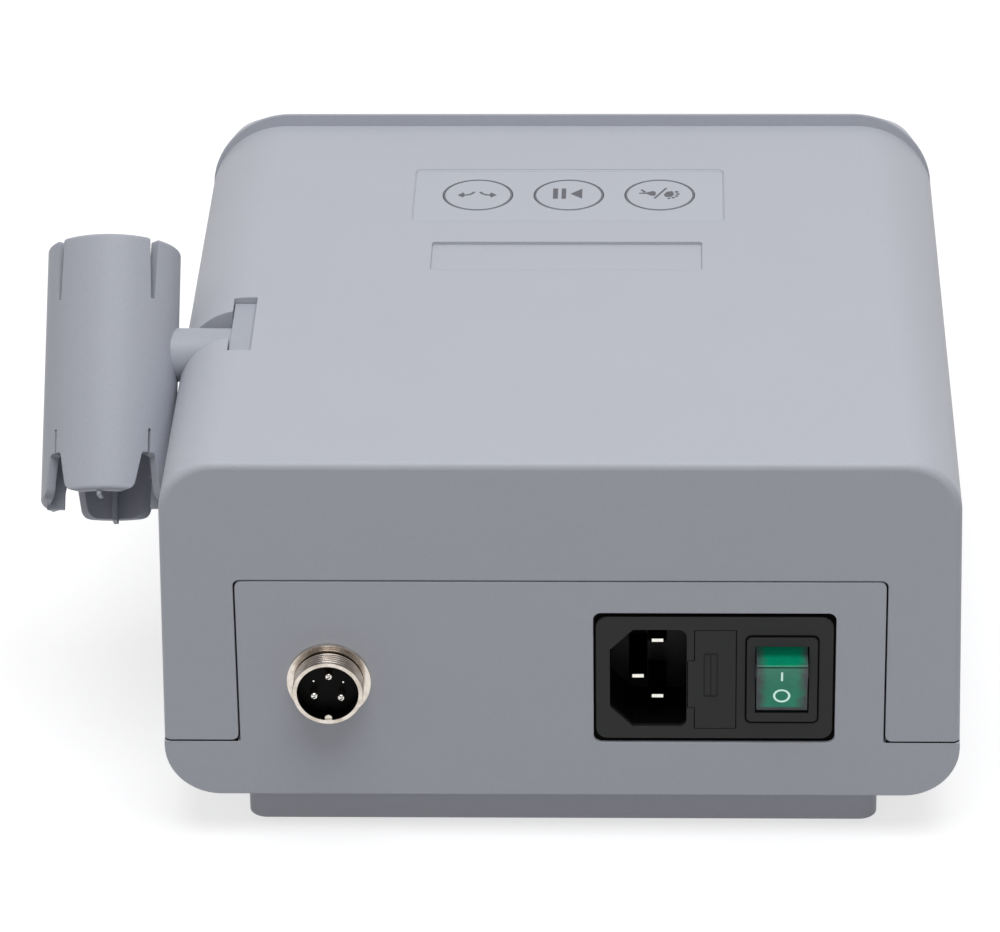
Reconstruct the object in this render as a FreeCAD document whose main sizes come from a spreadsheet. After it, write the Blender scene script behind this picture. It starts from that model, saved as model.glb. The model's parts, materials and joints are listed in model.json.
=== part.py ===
import FreeCAD, Part
import math
import os

import Sketcher

# Control unit of a laboratory micromotor, in millimetres.
# +Z is up, the sockets face +Y, the front face is towards -Y and the cradle stands on +X.
# The origin is on the ground, under the middle of the plinth.

SIZES = {
    # case
    "feet_proud": 1.8,
    "foot_diameter": 14.0,
    "foot_taper": 0.75,
    "foot_recess": 1.0,
    "foot_margin": 20.0,
    "plinth_height": 9.2,
    "plinth_width": 138.3,
    "plinth_inset": 5.0,
    "plinth_corner": 4.0,
    "plinth_edge": 0.25,
    "body_width": 173.2,
    "body_height": 82.5,
    "shell_depth": 167.5,
    "side_draft": 1.1,
    "section_radius": 12.0,
    "front_radius": 18.0,
    "rear_edge": 1.6,
    "base_edge": 0.25,
    "wall": 2.5,
    "parting_height": 13.5,
    "seam": 0.4,
    "cut_spare": 1.0,
    "lip_rise": 3.0,
    "lip_wall": 1.5,
    "lip_gap": 0.2,
    "lip_end_gap": 4.0,
    "tongue_width": 140.3,
    "tongue_top": 53.8,
    "tongue_corner": 1.5,
    # front
    "bezel_depth": 8.5,
    "bezel_lip": 3.3,
    "bezel_rim": 7.0,
    "bezel_wall": 3.0,
    "bezel_sink": 2.0,
    "bezel_corner": 6.0,
    "bezel_edge": 0.8,
    "bezel_radius": 19.5,
    "bezel_front_radius": 9.0,
    "bezel_taper": 3.5,
    "bezel_fall": 5.5,
    "bezel_back_edge": 0.3,
    "bezel_back_margin": 3.0,
    "panel_thickness": 1.2,
    "panel_gap": 0.2,
    "window_width": 64.0,
    "window_height": 26.0,
    "window_corner": 3.0,
    "window_shift": -14.0,
    "window_rise": 55.0,
    "window_gap": 0.15,
    "window_root": 1.5,
    # keypad
    "keypad_width": 72.0,
    "keypad_length": 27.2,
    "keypad_corner": 1.5,
    "keypad_from_rear": 130.2,
    "keypad_thickness": 1.0,
    "keypad_step": 0.4,
    "key_forward": 0.7,
    "key_diameter": 15.9,
    "key_flange_gap": 0.3,
    "key_gap": 0.25,
    "key_pitch": 21.1,
    "key_travel": 0.5,
    "key_flange": 1.6,
    "key_flange_thickness": 1.2,
    "key_stem_diameter": 4.6,
    "key_stem_length": 4.0,
    "switch_side": 7.0,
    "switch_height": 4.0,
    "switch_well": 5.4,
    "switch_gap": 0.2,
    "keypad_board_width": 70.0,
    "keypad_board_length": 22.0,
    "keypad_post_diameter": 5.0,
    "keypad_post_spread": 31.5,
    "keypad_post_reach": 8.0,
    "keypad_screw_diameter": 2.2,
    "keypad_screw_head": 4.2,
    "keypad_head_height": 1.6,
    "keypad_screw_grip": 6.0,
    # emblem recess
    "emblem_width": 61.5,
    "emblem_length": 14.2,
    "emblem_from_rear": 98.6,
    "emblem_depth": 0.8,
    "emblem_corner": 0.8,
    # cradle
    "cradle_from_rear": 65.0,
    "slot_shift": 71.5,
    "plate_thickness": 4.8,
    "plate_length": 25.0,
    "plate_height": 20.0,
    "plate_sink": 1.5,
    "slot_gap": 0.2,
    "slot_wall": 2.0,
    "arm_drop": 8.0,
    "arm_diameter": 12.0,
    "notch_gap": 0.4,
    "tube_shift": 100.9,
    "tube_diameter": 29.6,
    "tube_wall": 2.6,
    "tube_tilt": 43.5,
    "tube_spin": -3.0,
    "tube_above": 23.9,
    "tube_below": 34.6,
    "tube_edge": 0.8,
    "upper_slot_length": 14.0,
    "upper_slot_wide": 2.3,
    "upper_slot_narrow": 1.0,
    "petal_corner": 0.7,
    "kerf_start": 20.0,
    "kerf_width": 0.7,
    "jaw_start": 25.4,
    "jaw_start_width": 3.6,
    "jaw_end_width": 7.4,
    "jaw_shoulder": 1.6,
    "jaw_corner": 2.6,
    "jaw_bore_step": 0.3,
    "jaw_rib_width": 1.0,
    "jaw_rib_height": 2.6,
    "jaw_rib_length": 13.0,
    "jaw_rib_proud": 0.9,
    # round sockets
    "pedal_shift": 50.2,
    "pedal_rise": 29.2,
    "flange_diameter": 18.2,
    "flange_thickness": 1.1,
    "flange_gap": 0.2,
    "thread_diameter": 15.3,
    "thread_pitch": 0.8,
    "thread_depth": 0.4,
    "thread_start": 0.4,
    "thread_count": 5,
    "lip_diameter": 15.1,
    "lip_length": 0.4,
    "barrel_length": 4.9,
    "socket_bore": 13.4,
    "insulator_sink": 3.6,
    "insulator_gap": 0.05,
    "contact_gap": 0.02,
    "rear_thread_diameter": 15.8,
    "rear_thread_length": 11.0,
    "panel_hole_gap": 0.2,
    "nut_diameter": 20.0,
    "nut_thickness": 2.4,
    "nut_flat": 1.2,
    "pin_circle": 6.8,
    "pin_turn": 4.0,
    "pin_diameter": 1.9,
    "pin_length": 2.7,
    "solder_cup_length": 5.0,
    "pedal_pins": 3,
    "handpiece_pins": 5,
    "socket_key_width": 1.6,
    "socket_key_height": 1.1,
    "socket_key_sink": 0.4,
    "socket_key_root": 0.1,
    # mains module
    "module_shift": -33.2,
    "module_rise": 29.7,
    "module_width": 51.3,
    "module_height": 30.4,
    "module_corner": 2.6,
    "module_edge": 0.4,
    "recess_corner": 1.7,
    "inlet_corner": 1.8,
    "module_sink": 1.2,
    "module_margin": 0.5,
    "module_gap_high": 1.1,
    "module_neck_width": 47.0,
    "module_neck_height": 27.0,
    "module_neck_length": 24.0,
    "module_hole_gap": 0.2,
    "snap_width": 12.0,
    "snap_height": 0.9,
    "snap_length": 3.0,
    "snap_gap": 0.1,
    "snap_root": 1.0,
    "inlet_shift": 14.3,
    "inlet_width": 16.6,
    "inlet_height": 24.3,
    "inlet_depth": 17.0,
    "inlet_chamfer": 5.0,
    "blade_pitch": 14.0,
    "blade_shift": 2.0,
    "blade_width": 4.0,
    "blade_thickness": 2.0,
    "blade_tip": 2.2,
    "blade_bevel": 0.6,
    "blade_sink": 3.6,
    "blade_rise": 0.45,
    "earth_sink": 0.3,
    "earth_shift": 4.2,
    "tab_width": 6.3,
    "tab_thickness": 0.8,
    "tab_length": 7.0,
    "drawer_shift": -0.2,
    "drawer_drop": 0.3,
    "drawer_width": 8.8,
    "drawer_height": 24.4,
    "drawer_face": 1.6,
    "drawer_gap": 0.2,
    "drawer_body_width": 7.4,
    "drawer_body_height": 22.4,
    "drawer_body_length": 19.0,
    "drawer_tab_width": 1.5,
    "drawer_tab_drop": 7.6,
    "drawer_tab_height": 11.6,
    "fuse_diameter": 5.2,
    "fuse_glass_diameter": 4.7,
    "fuse_length": 20.0,
    "fuse_cap_length": 5.0,
    "fuse_glass_root": 1.0,
    "first_fuse": 4.2,
    "fuse_pitch": 7.4,
    "fuse_seat_gap": 0.1,
    "switch_shift": -14.6,
    "frame_width": 15.2,
    "frame_height": 20.9,
    "frame_corner": 1.0,
    "frame_proud": 0.6,
    "frame_gap": 0.1,
    "frame_body_length": 21.0,
    "frame_opening_width": 11.6,
    "frame_opening_height": 16.7,
    "frame_opening_depth": 11.0,
    "frame_lip": 1.12,
    "terminal_spread": 3.2,
    "terminal_rise": 5.4,
    "rocker_gap": 0.3,
    "rocker_reach": 7.0,
    "rocker_rise": 5.5,
    "rocker_dish": 1.6,
    "rocker_dish_radius": 28.0,
    "rocker_pivot_sink": 3.7,
    "rocker_under": 3.2,
    "rocker_tail": 5.2,
    "rocker_tilt": 15.0,
    "rocker_edge": 0.5,
    "trunnion_diameter": 3.0,
    "trunnion_length": 0.9,
    "trunnion_gap": 0.1,
    # speed control
    "knob_shift": 47.0,
    "knob_rise": 50.0,
    "knob_diameter": 38.0,
    "knob_length": 17.0,
    "knob_skirt": 3.0,
    "knob_skirt_diameter": 42.0,
    "knob_chamfer": 0.8,
    "knob_edge": 1.5,
    "knob_gap": 0.6,
    "knob_flutes": 24,
    "flute_diameter": 3.6,
    "flute_depth": 0.6,
    "flute_stop": 0.5,
    "pointer_angle": 140.0,
    "pointer_width": 1.4,
    "pointer_length": 9.0,
    "pointer_margin": 3.0,
    "pointer_depth": 0.5,
    "knob_bore": 6.0,
    "knob_bore_depth": 12.0,
    "shaft_gap": 0.03,
    "bushing_diameter": 9.0,
    "bushing_length": 7.0,
    "bushing_hole_gap": 0.3,
    "bushing_bore_gap": 0.05,
    "pot_diameter": 24.0,
    "pot_length": 8.5,
    "pot_nut_across": 13.0,
    "pot_nut_thickness": 2.0,
    "panel_nut_gap": 2.0,
    "knob_nut_gap": 2.5,
    "pot_lug_width": 1.2,
    "pot_lug_pitch": 5.0,
    "pot_lug_drop": 8.0,
    "pot_bore_spare": 2.5,
    "shaft_root": 2.2,
    "handpiece_shift": -54.0,
    "handpiece_rise": 21.5,
    "control_board_gap": 12.0,
    "control_board_width": 102.0,
    "control_board_height": 62.0,
    "control_board_shift": 11.0,
    "control_board_rise": 45.0,
    "control_post_diameter": 6.0,
    "display_thickness": 10.5,
    "display_height": 19.0,
    "display_width": 50.0,
    # boards on the floor
    "board_thickness": 1.6,
    "board_stand": 9.5,
    "post_diameter": 6.0,
    "power_board_width": 60.0,
    "power_board_length": 86.0,
    "power_board_shift": -31.5,
    "power_board_back": 2.0,
    "driver_board_width": 56.0,
    "driver_board_length": 78.0,
    "driver_board_shift": 31.5,
    "driver_board_back": -6.0,
    "board_margin": 4.0,
    "board_hole_gap": 0.2,
    "transformer_width": 30.0,
    "transformer_length": 26.0,
    "transformer_height": 24.0,
    "transformer_front": 14.0,
    "choke_diameter": 18.0,
    "choke_bore": 7.0,
    "choke_height": 14.0,
    "choke_left": 12.5,
    "choke_back": 31.0,
    "bulk_diameter": 20.0,
    "bulk_height": 32.0,
    "bulk_left": 17.5,
    "bulk_front": 29.0,
    "filter_diameter": 10.0,
    "filter_height": 18.0,
    "filter_right": 22.5,
    "filter_pitch": 12.0,
    "mains_header_width": 10.0,
    "mains_header_length": 14.0,
    "mains_header_height": 6.0,
    "mains_header_back": 31.5,
    "sink_thickness": 3.0,
    "sink_height": 26.0,
    "sink_length": 56.0,
    "sink_fin_height": 6.0,
    "sink_fin_thickness": 1.5,
    "sink_fins": 4,
    "transistor_width": 10.0,
    "transistor_height": 15.0,
    "transistor_thickness": 4.5,
    "transistor_pitch": 16.0,
    "header_width": 12.0,
    "header_depth": 6.0,
    "header_height": 8.0,
    "dc_header_front": 32.0,
    "dc_header_inset": 12.5,
    "dc_entry_left": 21.5,
    "dc_entry_front": 24.0,
    "motor_header_left": 9.5,
    "motor_header_front": 34.0,
    "panel_header_right": 12.5,
    "panel_header_front": 32.0,
    "pedal_header_back": 26.0,
    "panel_socket_rise": 27.0,
    "keypad_plug_rise": 49.0,
    "keypad_header_front": 5.5,
    # fasteners
    "case_post_diameter": 10.0,
    "case_post_shift": 64.0,
    "case_post_back": 69.0,
    "case_post_front": 60.0,
    "case_post_meet": 30.0,
    "case_screw_diameter": 3.5,
    "case_screw_head": 6.5,
    "case_screw_grip": 12.0,
    "case_head_height": 2.6,
    "case_seat": 9.0,
    "head_gap": 0.4,
    "shank_gap": 0.4,
    "pilot_spare": 1.0,
    "screw_pilot_gap": 0.02,
    "board_screw_diameter": 3.0,
    "board_screw_head": 5.4,
    "board_head_height": 2.0,
    "board_screw_grip": 6.0,
    "bezel_screw_shift": 73.0,
    "bezel_screw_low": 13.0,
    "bezel_screw_high": 13.0,
    "bezel_boss_diameter": 8.0,
    "bezel_boss_length": 14.0,
    "bezel_boss_web": 2.5,
    "bezel_screw_grip": 8.0,
    "bezel_seat": 2.4,
    # wiring
    "mains_lead_diameter": 1.8,
    "dc_lead_diameter": 2.0,
    "signal_lead_diameter": 1.8,
    "cable_diameter": 2.6,
    "lead_pitch": 3.0,
    "boot_diameter": 9.4,
    "boot_end_diameter": 4.0,
    "boot_length": 6.0,
    "dc_loop_height": 14.4,
}

doc = FreeCAD.newDocument("MicromotorControlUnit")
sheet = doc.addObject("Spreadsheet::Sheet", "Sizes")
nodes = []


class Size:
    """A length or angle with the expression that ties it to the sheet and its value now."""

    def __init__(self, text, value):
        self.text = text
        self.value = value

    def __add__(self, other):
        other = as_size(other)
        return Size("(" + self.text + " + " + other.text + ")", self.value + other.value)

    def __radd__(self, other):
        return as_size(other) + self

    def __sub__(self, other):
        other = as_size(other)
        return Size("(" + self.text + " - " + other.text + ")", self.value - other.value)

    def __rsub__(self, other):
        return as_size(other) - self

    def __mul__(self, other):
        other = as_size(other)
        return Size("(" + self.text + " * " + other.text + ")", self.value * other.value)

    def __rmul__(self, other):
        return as_size(other) * self

    def __truediv__(self, other):
        other = as_size(other)
        return Size("(" + self.text + " / " + other.text + ")", self.value / other.value)

    def __neg__(self):
        return Size("(-1 * " + self.text + ")", -self.value)


def as_size(number):
    if isinstance(number, Size):
        return number
    return Size("(" + repr(float(number)) + ")", float(number))


def sine(angle):
    return Size("sin(" + angle.text + ")", math.sin(math.radians(angle.value)))


def cosine(angle):
    return Size("cos(" + angle.text + ")", math.cos(math.radians(angle.value)))


def fill_sheet():
    for row, (name, number) in enumerate(SIZES.items(), start=1):
        sheet.set("A" + str(row), name)
        sheet.set("B" + str(row), repr(number))
        sheet.setAlias("B" + str(row), name)
    doc.recompute()


class Sizes:
    """Every cell of the sheet as an attribute."""


size = Sizes()
for cell_name, cell_value in SIZES.items():
    setattr(size, cell_name, Size("Sizes." + cell_name, float(cell_value)))


def bind(thing, prop, amount):
    amount = as_size(amount)
    setattr(thing, prop, amount.value)
    thing.setExpression(prop, amount.text)


def set_base(thing, x, y, z):
    x, y, z = as_size(x), as_size(y), as_size(z)
    rotation = thing.Placement.Rotation
    thing.Placement = FreeCAD.Placement(FreeCAD.Vector(x.value, y.value, z.value), rotation)
    thing.setExpression(".Placement.Base.x", x.text)
    thing.setExpression(".Placement.Base.y", y.text)
    thing.setExpression(".Placement.Base.z", z.text)


def keep(label, thing):
    thing.Label = label
    nodes.append(thing)
    return thing


# Plain solids

TURNS = {
    "X": (FreeCAD.Vector(0, 1, 0), 90),
    "-X": (FreeCAD.Vector(0, 1, 0), -90),
    "Y": (FreeCAD.Vector(1, 0, 0), -90),
    "-Y": (FreeCAD.Vector(1, 0, 0), 90),
    "Z": (FreeCAD.Vector(0, 0, 1), 0),
    "-Z": (FreeCAD.Vector(1, 0, 0), 180),
}


def block(x0, x1, y0, y1, z0, z1):
    piece = doc.addObject("Part::Box", "Block")
    bind(piece, "Length", x1 - x0)
    bind(piece, "Width", y1 - y0)
    bind(piece, "Height", z1 - z0)
    set_base(piece, x0, y0, z0)
    return piece


def middle_block(x, width, y0, y1, z, height):
    return block(x - width / 2, x + width / 2, y0, y1, z - height / 2, z + height / 2)


def turn_to(piece, axis):
    vector, angle = TURNS[axis]
    piece.Placement = FreeCAD.Placement(FreeCAD.Vector(), FreeCAD.Rotation(vector, angle))


def bar(axis, x, y, z, diameter, length):
    piece = doc.addObject("Part::Cylinder", "Bar")
    turn_to(piece, axis)
    bind(piece, "Radius", diameter / 2)
    bind(piece, "Height", length)
    set_base(piece, x, y, z)
    return piece


def taper(axis, x, y, z, diameter, end_diameter, length):
    piece = doc.addObject("Part::Cone", "Taper")
    turn_to(piece, axis)
    bind(piece, "Radius1", diameter / 2)
    bind(piece, "Radius2", end_diameter / 2)
    bind(piece, "Height", length)
    set_base(piece, x, y, z)
    return piece


def ball(x, y, z, diameter):
    piece = doc.addObject("Part::Sphere", "Ball")
    bind(piece, "Radius", diameter / 2)
    set_base(piece, x, y, z)
    return piece


def fuse(*pieces):
    if len(pieces) == 1:
        return pieces[0]
    whole = doc.addObject("Part::MultiFuse", "Fuse")
    whole.Shapes = list(pieces)
    return whole


def cut(base, *tools):
    result = doc.addObject("Part::Cut", "Cut")
    result.Base = base
    result.Tool = fuse(*tools)
    return result


def group(*pieces):
    whole = doc.addObject("Part::Compound", "Group")
    whole.Links = list(pieces)
    return whole


# Bodies drawn from sketches


class Outline:
    """A sketch whose points are held by the sheet."""

    def __init__(self, body, plane, offset):
        self.sketch = body.newObject("Sketcher::SketchObject", "Outline")
        support = [item for item in body.Origin.OriginFeatures if item.Role == plane][0]
        self.sketch.AttachmentSupport = [(support, "")]
        self.sketch.MapMode = "FlatFace"
        self.sketch.AttachmentOffset = FreeCAD.Placement(
            FreeCAD.Vector(0, 0, offset.value), FreeCAD.Rotation())
        self.sketch.setExpression(".AttachmentOffset.Base.z", offset.text)

    def hold(self, kind, amount, *where):
        constraint = Sketcher.Constraint(kind, *where, amount.value)
        index = self.sketch.addConstraint(constraint)
        self.sketch.setExpression("Constraints[" + str(index) + "]", amount.text)

    def fix(self, item, point, x, y):
        self.hold("DistanceX", as_size(x), -1, 1, item, point)
        self.hold("DistanceY", as_size(y), -1, 1, item, point)

    def polygon(self, *corners):
        corners = [(as_size(x), as_size(y)) for x, y in corners]
        spots = [FreeCAD.Vector(x.value, y.value, 0) for x, y in corners]
        lines = []
        for number, spot in enumerate(spots):
            after = spots[(number + 1) % len(spots)]
            lines.append(self.sketch.addGeometry(Part.LineSegment(spot, after), False))
        for number, line in enumerate(lines):
            after = lines[(number + 1) % len(lines)]
            self.sketch.addConstraint(Sketcher.Constraint("Coincident", line, 2, after, 1))
        for line, (x, y) in zip(lines, corners):
            self.fix(line, 1, x, y)
        return self

    def rounded(self, corners, radii):
        """An outline drawn anticlockwise: None for a sharp corner, a size for a round one."""
        corners = [(as_size(x), as_size(y)) for x, y in corners]
        spots = [FreeCAD.Vector(x.value, y.value, 0) for x, y in corners]
        total = len(spots)
        cuts = [self.corner_cut(spots[number - 1], spots[number], spots[(number + 1) % total], radius)
                for number, radius in enumerate(radii)]
        guides = []
        lines = []
        for number, spot in enumerate(spots):
            after = spots[(number + 1) % total]
            guide = self.sketch.addGeometry(Part.LineSegment(spot, after), True)
            along = (after - spot).normalize()
            start = spot + along * cuts[number]
            end = after - along * cuts[(number + 1) % total]
            guides.append(guide)
            lines.append(self.sketch.addGeometry(Part.LineSegment(start, end), False))
        for number, guide in enumerate(guides):
            self.sketch.addConstraint(
                Sketcher.Constraint("Coincident", guide, 2, guides[(number + 1) % total], 1))
            self.fix(guide, 1, *corners[number])
        for number, radius in enumerate(radii):
            before = lines[number - 1]
            line = lines[number]
            if radius is None:
                self.sketch.addConstraint(Sketcher.Constraint("Coincident", before, 2, guides[number], 1))
                self.sketch.addConstraint(Sketcher.Constraint("Coincident", line, 1, guides[number], 1))
                continue
            self.sketch.addConstraint(Sketcher.Constraint("PointOnObject", before, 2, guides[number - 1]))
            self.sketch.addConstraint(Sketcher.Constraint("PointOnObject", line, 1, guides[number]))
            self.round_corner(before, line, spots[number - 1], spots[number],
                              spots[(number + 1) % total], radius)
        return self

    def corner_cut(self, earlier, corner, later, radius):
        """How far from a corner its arc starts."""
        if radius is None:
            return 0.0
        return radius.value / math.tan((earlier - corner).getAngle(later - corner) / 2)

    def round_corner(self, before, line, earlier, corner, later, radius):
        back = (earlier - corner).normalize()
        ahead = (later - corner).normalize()
        half = back.getAngle(ahead) / 2
        middle = corner + (back + ahead).normalize() * (radius.value / math.sin(half))
        reach = self.corner_cut(earlier, corner, later, radius)
        first = corner + back * reach - middle
        last = corner + ahead * reach - middle
        start = math.atan2(first.y, first.x)
        end = math.atan2(last.y, last.x)
        near, far = 1, 2
        if back.cross(ahead).z > 0:
            start, end = end, start
            near, far = 2, 1
        circle = Part.Circle(middle, FreeCAD.Vector(0, 0, 1), radius.value)
        arc = self.sketch.addGeometry(Part.ArcOfCircle(circle, start, end), False)
        self.sketch.addConstraint(Sketcher.Constraint("Tangent", before, 2, arc, near))
        self.sketch.addConstraint(Sketcher.Constraint("Tangent", arc, far, line, 1))
        self.hold("Radius", radius, arc)

    def rectangle(self, x0, x1, y0, y1, radius=None):
        corners = ((x0, y0), (x1, y0), (x1, y1), (x0, y1))
        if radius is None:
            return self.polygon(*corners)
        return self.rounded(corners, [as_size(radius)] * 4)

    def circle(self, x, y, diameter):
        x, y, radius = as_size(x), as_size(y), as_size(diameter) / 2
        middle = FreeCAD.Vector(x.value, y.value, 0)
        item = self.sketch.addGeometry(
            Part.Circle(middle, FreeCAD.Vector(0, 0, 1), radius.value), False)
        self.hold("Radius", radius, item)
        self.fix(item, 3, x, y)
        return self


class Maker:
    """One body, built up feature by feature."""

    def __init__(self, label):
        self.body = doc.addObject("PartDesign::Body", label)
        keep(label, self.body)

    def outline(self, plane, offset=0.0):
        return Outline(self.body, plane, as_size(offset))

    def feature(self, kind, outline):
        item = self.body.newObject("PartDesign::" + kind, kind)
        item.Profile = outline.sketch
        return item

    def volume(self):
        tip = self.body.Tip
        return tip.Shape.Volume if tip is not None and tip.Shape.Solids else 0.0

    def pad(self, outline, length, reverse=False):
        item = self.feature("Pad", outline)
        bind(item, "Length", length)
        item.Reversed = reverse
        doc.recompute()
        return self

    def pocket(self, outline, length, reverse=False):
        before = self.volume()
        item = self.feature("Pocket", outline)
        bind(item, "Length", length)
        item.Reversed = reverse
        doc.recompute()
        if self.volume() >= before:
            raise RuntimeError("a pocket in " + self.body.Label + " cuts nothing")
        return self

    def blend(self, first, second, kind="AdditiveLoft"):
        """A straight-sided blend between two outlines, added or cut away."""
        item = self.feature(kind, first)
        item.Sections = [second.sketch]
        item.Ruled = True
        doc.recompute()
        return self

    def pocket_through(self, outline):
        before = self.volume()
        item = self.feature("Pocket", outline)
        item.Type = "ThroughAll"
        item.Midplane = True
        doc.recompute()
        if self.volume() >= before:
            raise RuntimeError("a pocket in " + self.body.Label + " cuts nothing")
        return self

    def edges(self, chosen):
        names = []
        for number, edge in enumerate(self.body.Tip.Shape.Edges, start=1):
            if chosen(edge):
                names.append("Edge" + str(number))
        if not names:
            raise RuntimeError("no edge to round in " + self.body.Label)
        return names

    def fillet(self, radius, chosen):
        base = self.body.Tip
        names = self.edges(chosen)
        item = self.body.newObject("PartDesign::Fillet", "Fillet")
        item.Base = (base, names)
        bind(item, "Radius", radius)
        doc.recompute()
        return self

    def chamfer(self, depth, chosen):
        base = self.body.Tip
        names = self.edges(chosen)
        item = self.body.newObject("PartDesign::Chamfer", "Chamfer")
        item.Base = (base, names)
        bind(item, "Size", depth)
        doc.recompute()
        return self


def close(first, second):
    return abs(first - second) < 0.02


def lies_along(edge, axis):
    if edge.Curve.TypeId != "Part::GeomLine":
        return False
    start, end = edge.Vertexes[0].Point, edge.Vertexes[-1].Point
    span = end - start
    return abs(abs(getattr(span, axis)) - span.Length) < 0.001 * span.Length


def lies_in(edge, axis, place):
    box = edge.BoundBox
    low, high = getattr(box, axis.upper() + "Min"), getattr(box, axis.upper() + "Max")
    return close(low, place.value) and close(high, place.value)


def above(edge, height):
    return edge.BoundBox.ZMin > height.value


# Places that several pieces share

half_width = size.body_width / 2
half_top = half_width - size.side_draft
y_rear = size.shell_depth / 2
y_front = -size.shell_depth / 2
y_face = y_front - size.bezel_depth
z_body = size.feet_proud + size.plinth_height
z_part = z_body + size.parting_height
z_top = z_body + size.body_height
z_floor = z_body + size.wall
z_well = size.feet_proud + size.wall
z_ceiling = z_top - size.wall
y_inner_rear = y_rear - size.wall
plinth_half_width = size.plinth_width / 2
plinth_half_length = y_rear - size.plinth_inset
y_keypad = y_rear - size.keypad_from_rear
y_keys = y_keypad - size.key_forward
y_cradle = y_rear - size.cradle_from_rear
z_arm = z_top - size.arm_drop
z_keypad_top = z_top - size.keypad_step
z_keypad_floor = z_keypad_top - size.keypad_thickness
z_key_flange_top = z_ceiling - size.key_flange_gap
z_key_flange = z_key_flange_top - size.key_flange_thickness
z_switch = z_key_flange_top - size.key_flange_thickness - size.key_stem_length - size.switch_gap
z_keypad_board = z_switch - size.switch_height
z_keypad_board_top = z_keypad_board + size.board_thickness
z_pedal = z_body + size.pedal_rise
z_module = z_body + size.module_rise
z_drawer = z_module - size.drawer_drop
x_inlet = size.module_shift + size.inlet_shift
x_drawer = size.module_shift + size.drawer_shift
x_switch = size.module_shift + size.switch_shift
y_panel_front = y_face + size.bezel_sink
y_panel_back = y_panel_front + size.panel_thickness
y_bezel_wall = y_panel_back + size.bezel_wall
z_knob = z_body + size.knob_rise
z_handpiece = z_body + size.handpiece_rise
z_window = z_body + size.window_rise
y_control_board = y_bezel_wall + size.control_board_gap
z_board = z_well + size.board_stand
z_board_top = z_board + size.board_thickness
z_meet = z_body + size.case_post_meet
z_case_seat = z_meet - size.case_seat
case_spots = [(sx * size.case_post_shift, y) for sx in (-1, 1)
              for y in (-size.case_post_front, size.case_post_back)]
key_spots = [size.key_pitch * step for step in (-1, 0, 1)]
keypad_post_spots = [(sx * size.keypad_post_spread, y_keypad + sy * size.keypad_post_reach)
                     for sx in (-1, 1) for sy in (-1, 1)]
z_bezel_low = z_body + size.bezel_screw_low
z_bezel_high = z_top - size.bezel_screw_high
low_spots = [(sx * size.bezel_screw_shift, z_bezel_low) for sx in (-1, 1)]
high_spots = [(sx * size.bezel_screw_shift, z_bezel_high) for sx in (-1, 1)]
y_bezel_seat = y_panel_back + size.bezel_seat
pilot_diameter = size.board_screw_diameter + 2 * size.screw_pilot_gap
board_hole = size.board_screw_diameter + 2 * size.board_hole_gap


def side_at(height):
    """Half width of the case's outer side at a height, along its draft."""
    share = (height - z_part) / (z_top - z_part)
    return half_width - size.side_draft * share


# Case


def cover_outline(maker, y, inset, bend):
    """The cover's section at a place along the case: straight sides and two round top corners."""
    foot = z_part + size.seam
    low, high, top = side_at(foot) - inset, half_top - inset, z_top - inset
    outline = maker.outline("XZ_Plane", -y)
    outline.rounded(((-low, foot), (low, foot), (high, top), (-high, top)), [None, None, bend, bend])
    return outline


def make_top_cover():
    cover = Maker("top_cover")
    foot = z_part + size.seam
    cover.blend(cover_outline(cover, y_rear, as_size(0.0), size.section_radius),
                cover_outline(cover, y_front, as_size(0.0), size.front_radius))
    cover.fillet(size.rear_edge, lambda e: lies_in(e, "y", y_rear) and not lies_in(e, "z", foot))
    cover.blend(cover_outline(cover, y_inner_rear, size.wall, size.section_radius - size.wall),
                cover_outline(cover, y_front, size.wall, size.front_radius - size.wall), "SubtractiveLoft")
    tongue_hole = cover.outline("XZ_Plane", -y_rear)
    reach = size.tongue_width / 2 + size.seam / 2
    tongue_hole.rectangle(-reach, reach, z_part, z_body + size.tongue_top + size.seam / 2)
    cover.pocket(tongue_hole, size.wall + size.cut_spare, reverse=True)
    cover.fillet(size.tongue_corner,
                 lambda e: lies_along(e, "y") and e.BoundBox.YMin > y_inner_rear.value - 0.01)
    pad_reach = size.keypad_width / 2
    recess = cover.outline("XY_Plane", z_top)
    recess.rectangle(-pad_reach, pad_reach, y_keypad - size.keypad_length / 2,
                     y_keypad + size.keypad_length / 2, size.keypad_corner)
    cover.pocket(recess, size.keypad_step + size.keypad_thickness)
    wells = cover.outline("XY_Plane", z_top)
    for x in key_spots:
        wells.circle(x, y_keys, size.key_diameter + 2 * size.key_gap)
    cover.pocket(wells, size.wall + size.cut_spare)
    emblem = cover.outline("XY_Plane", z_top)
    y_emblem = y_rear - size.emblem_from_rear
    emblem.rectangle(-size.emblem_width / 2, size.emblem_width / 2, y_emblem - size.emblem_length / 2,
                     y_emblem + size.emblem_length / 2, size.emblem_corner)
    cover.pocket(emblem, size.emblem_depth)
    add_cradle_pocket(cover)
    add_cover_posts(cover)
    return cover


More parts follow.
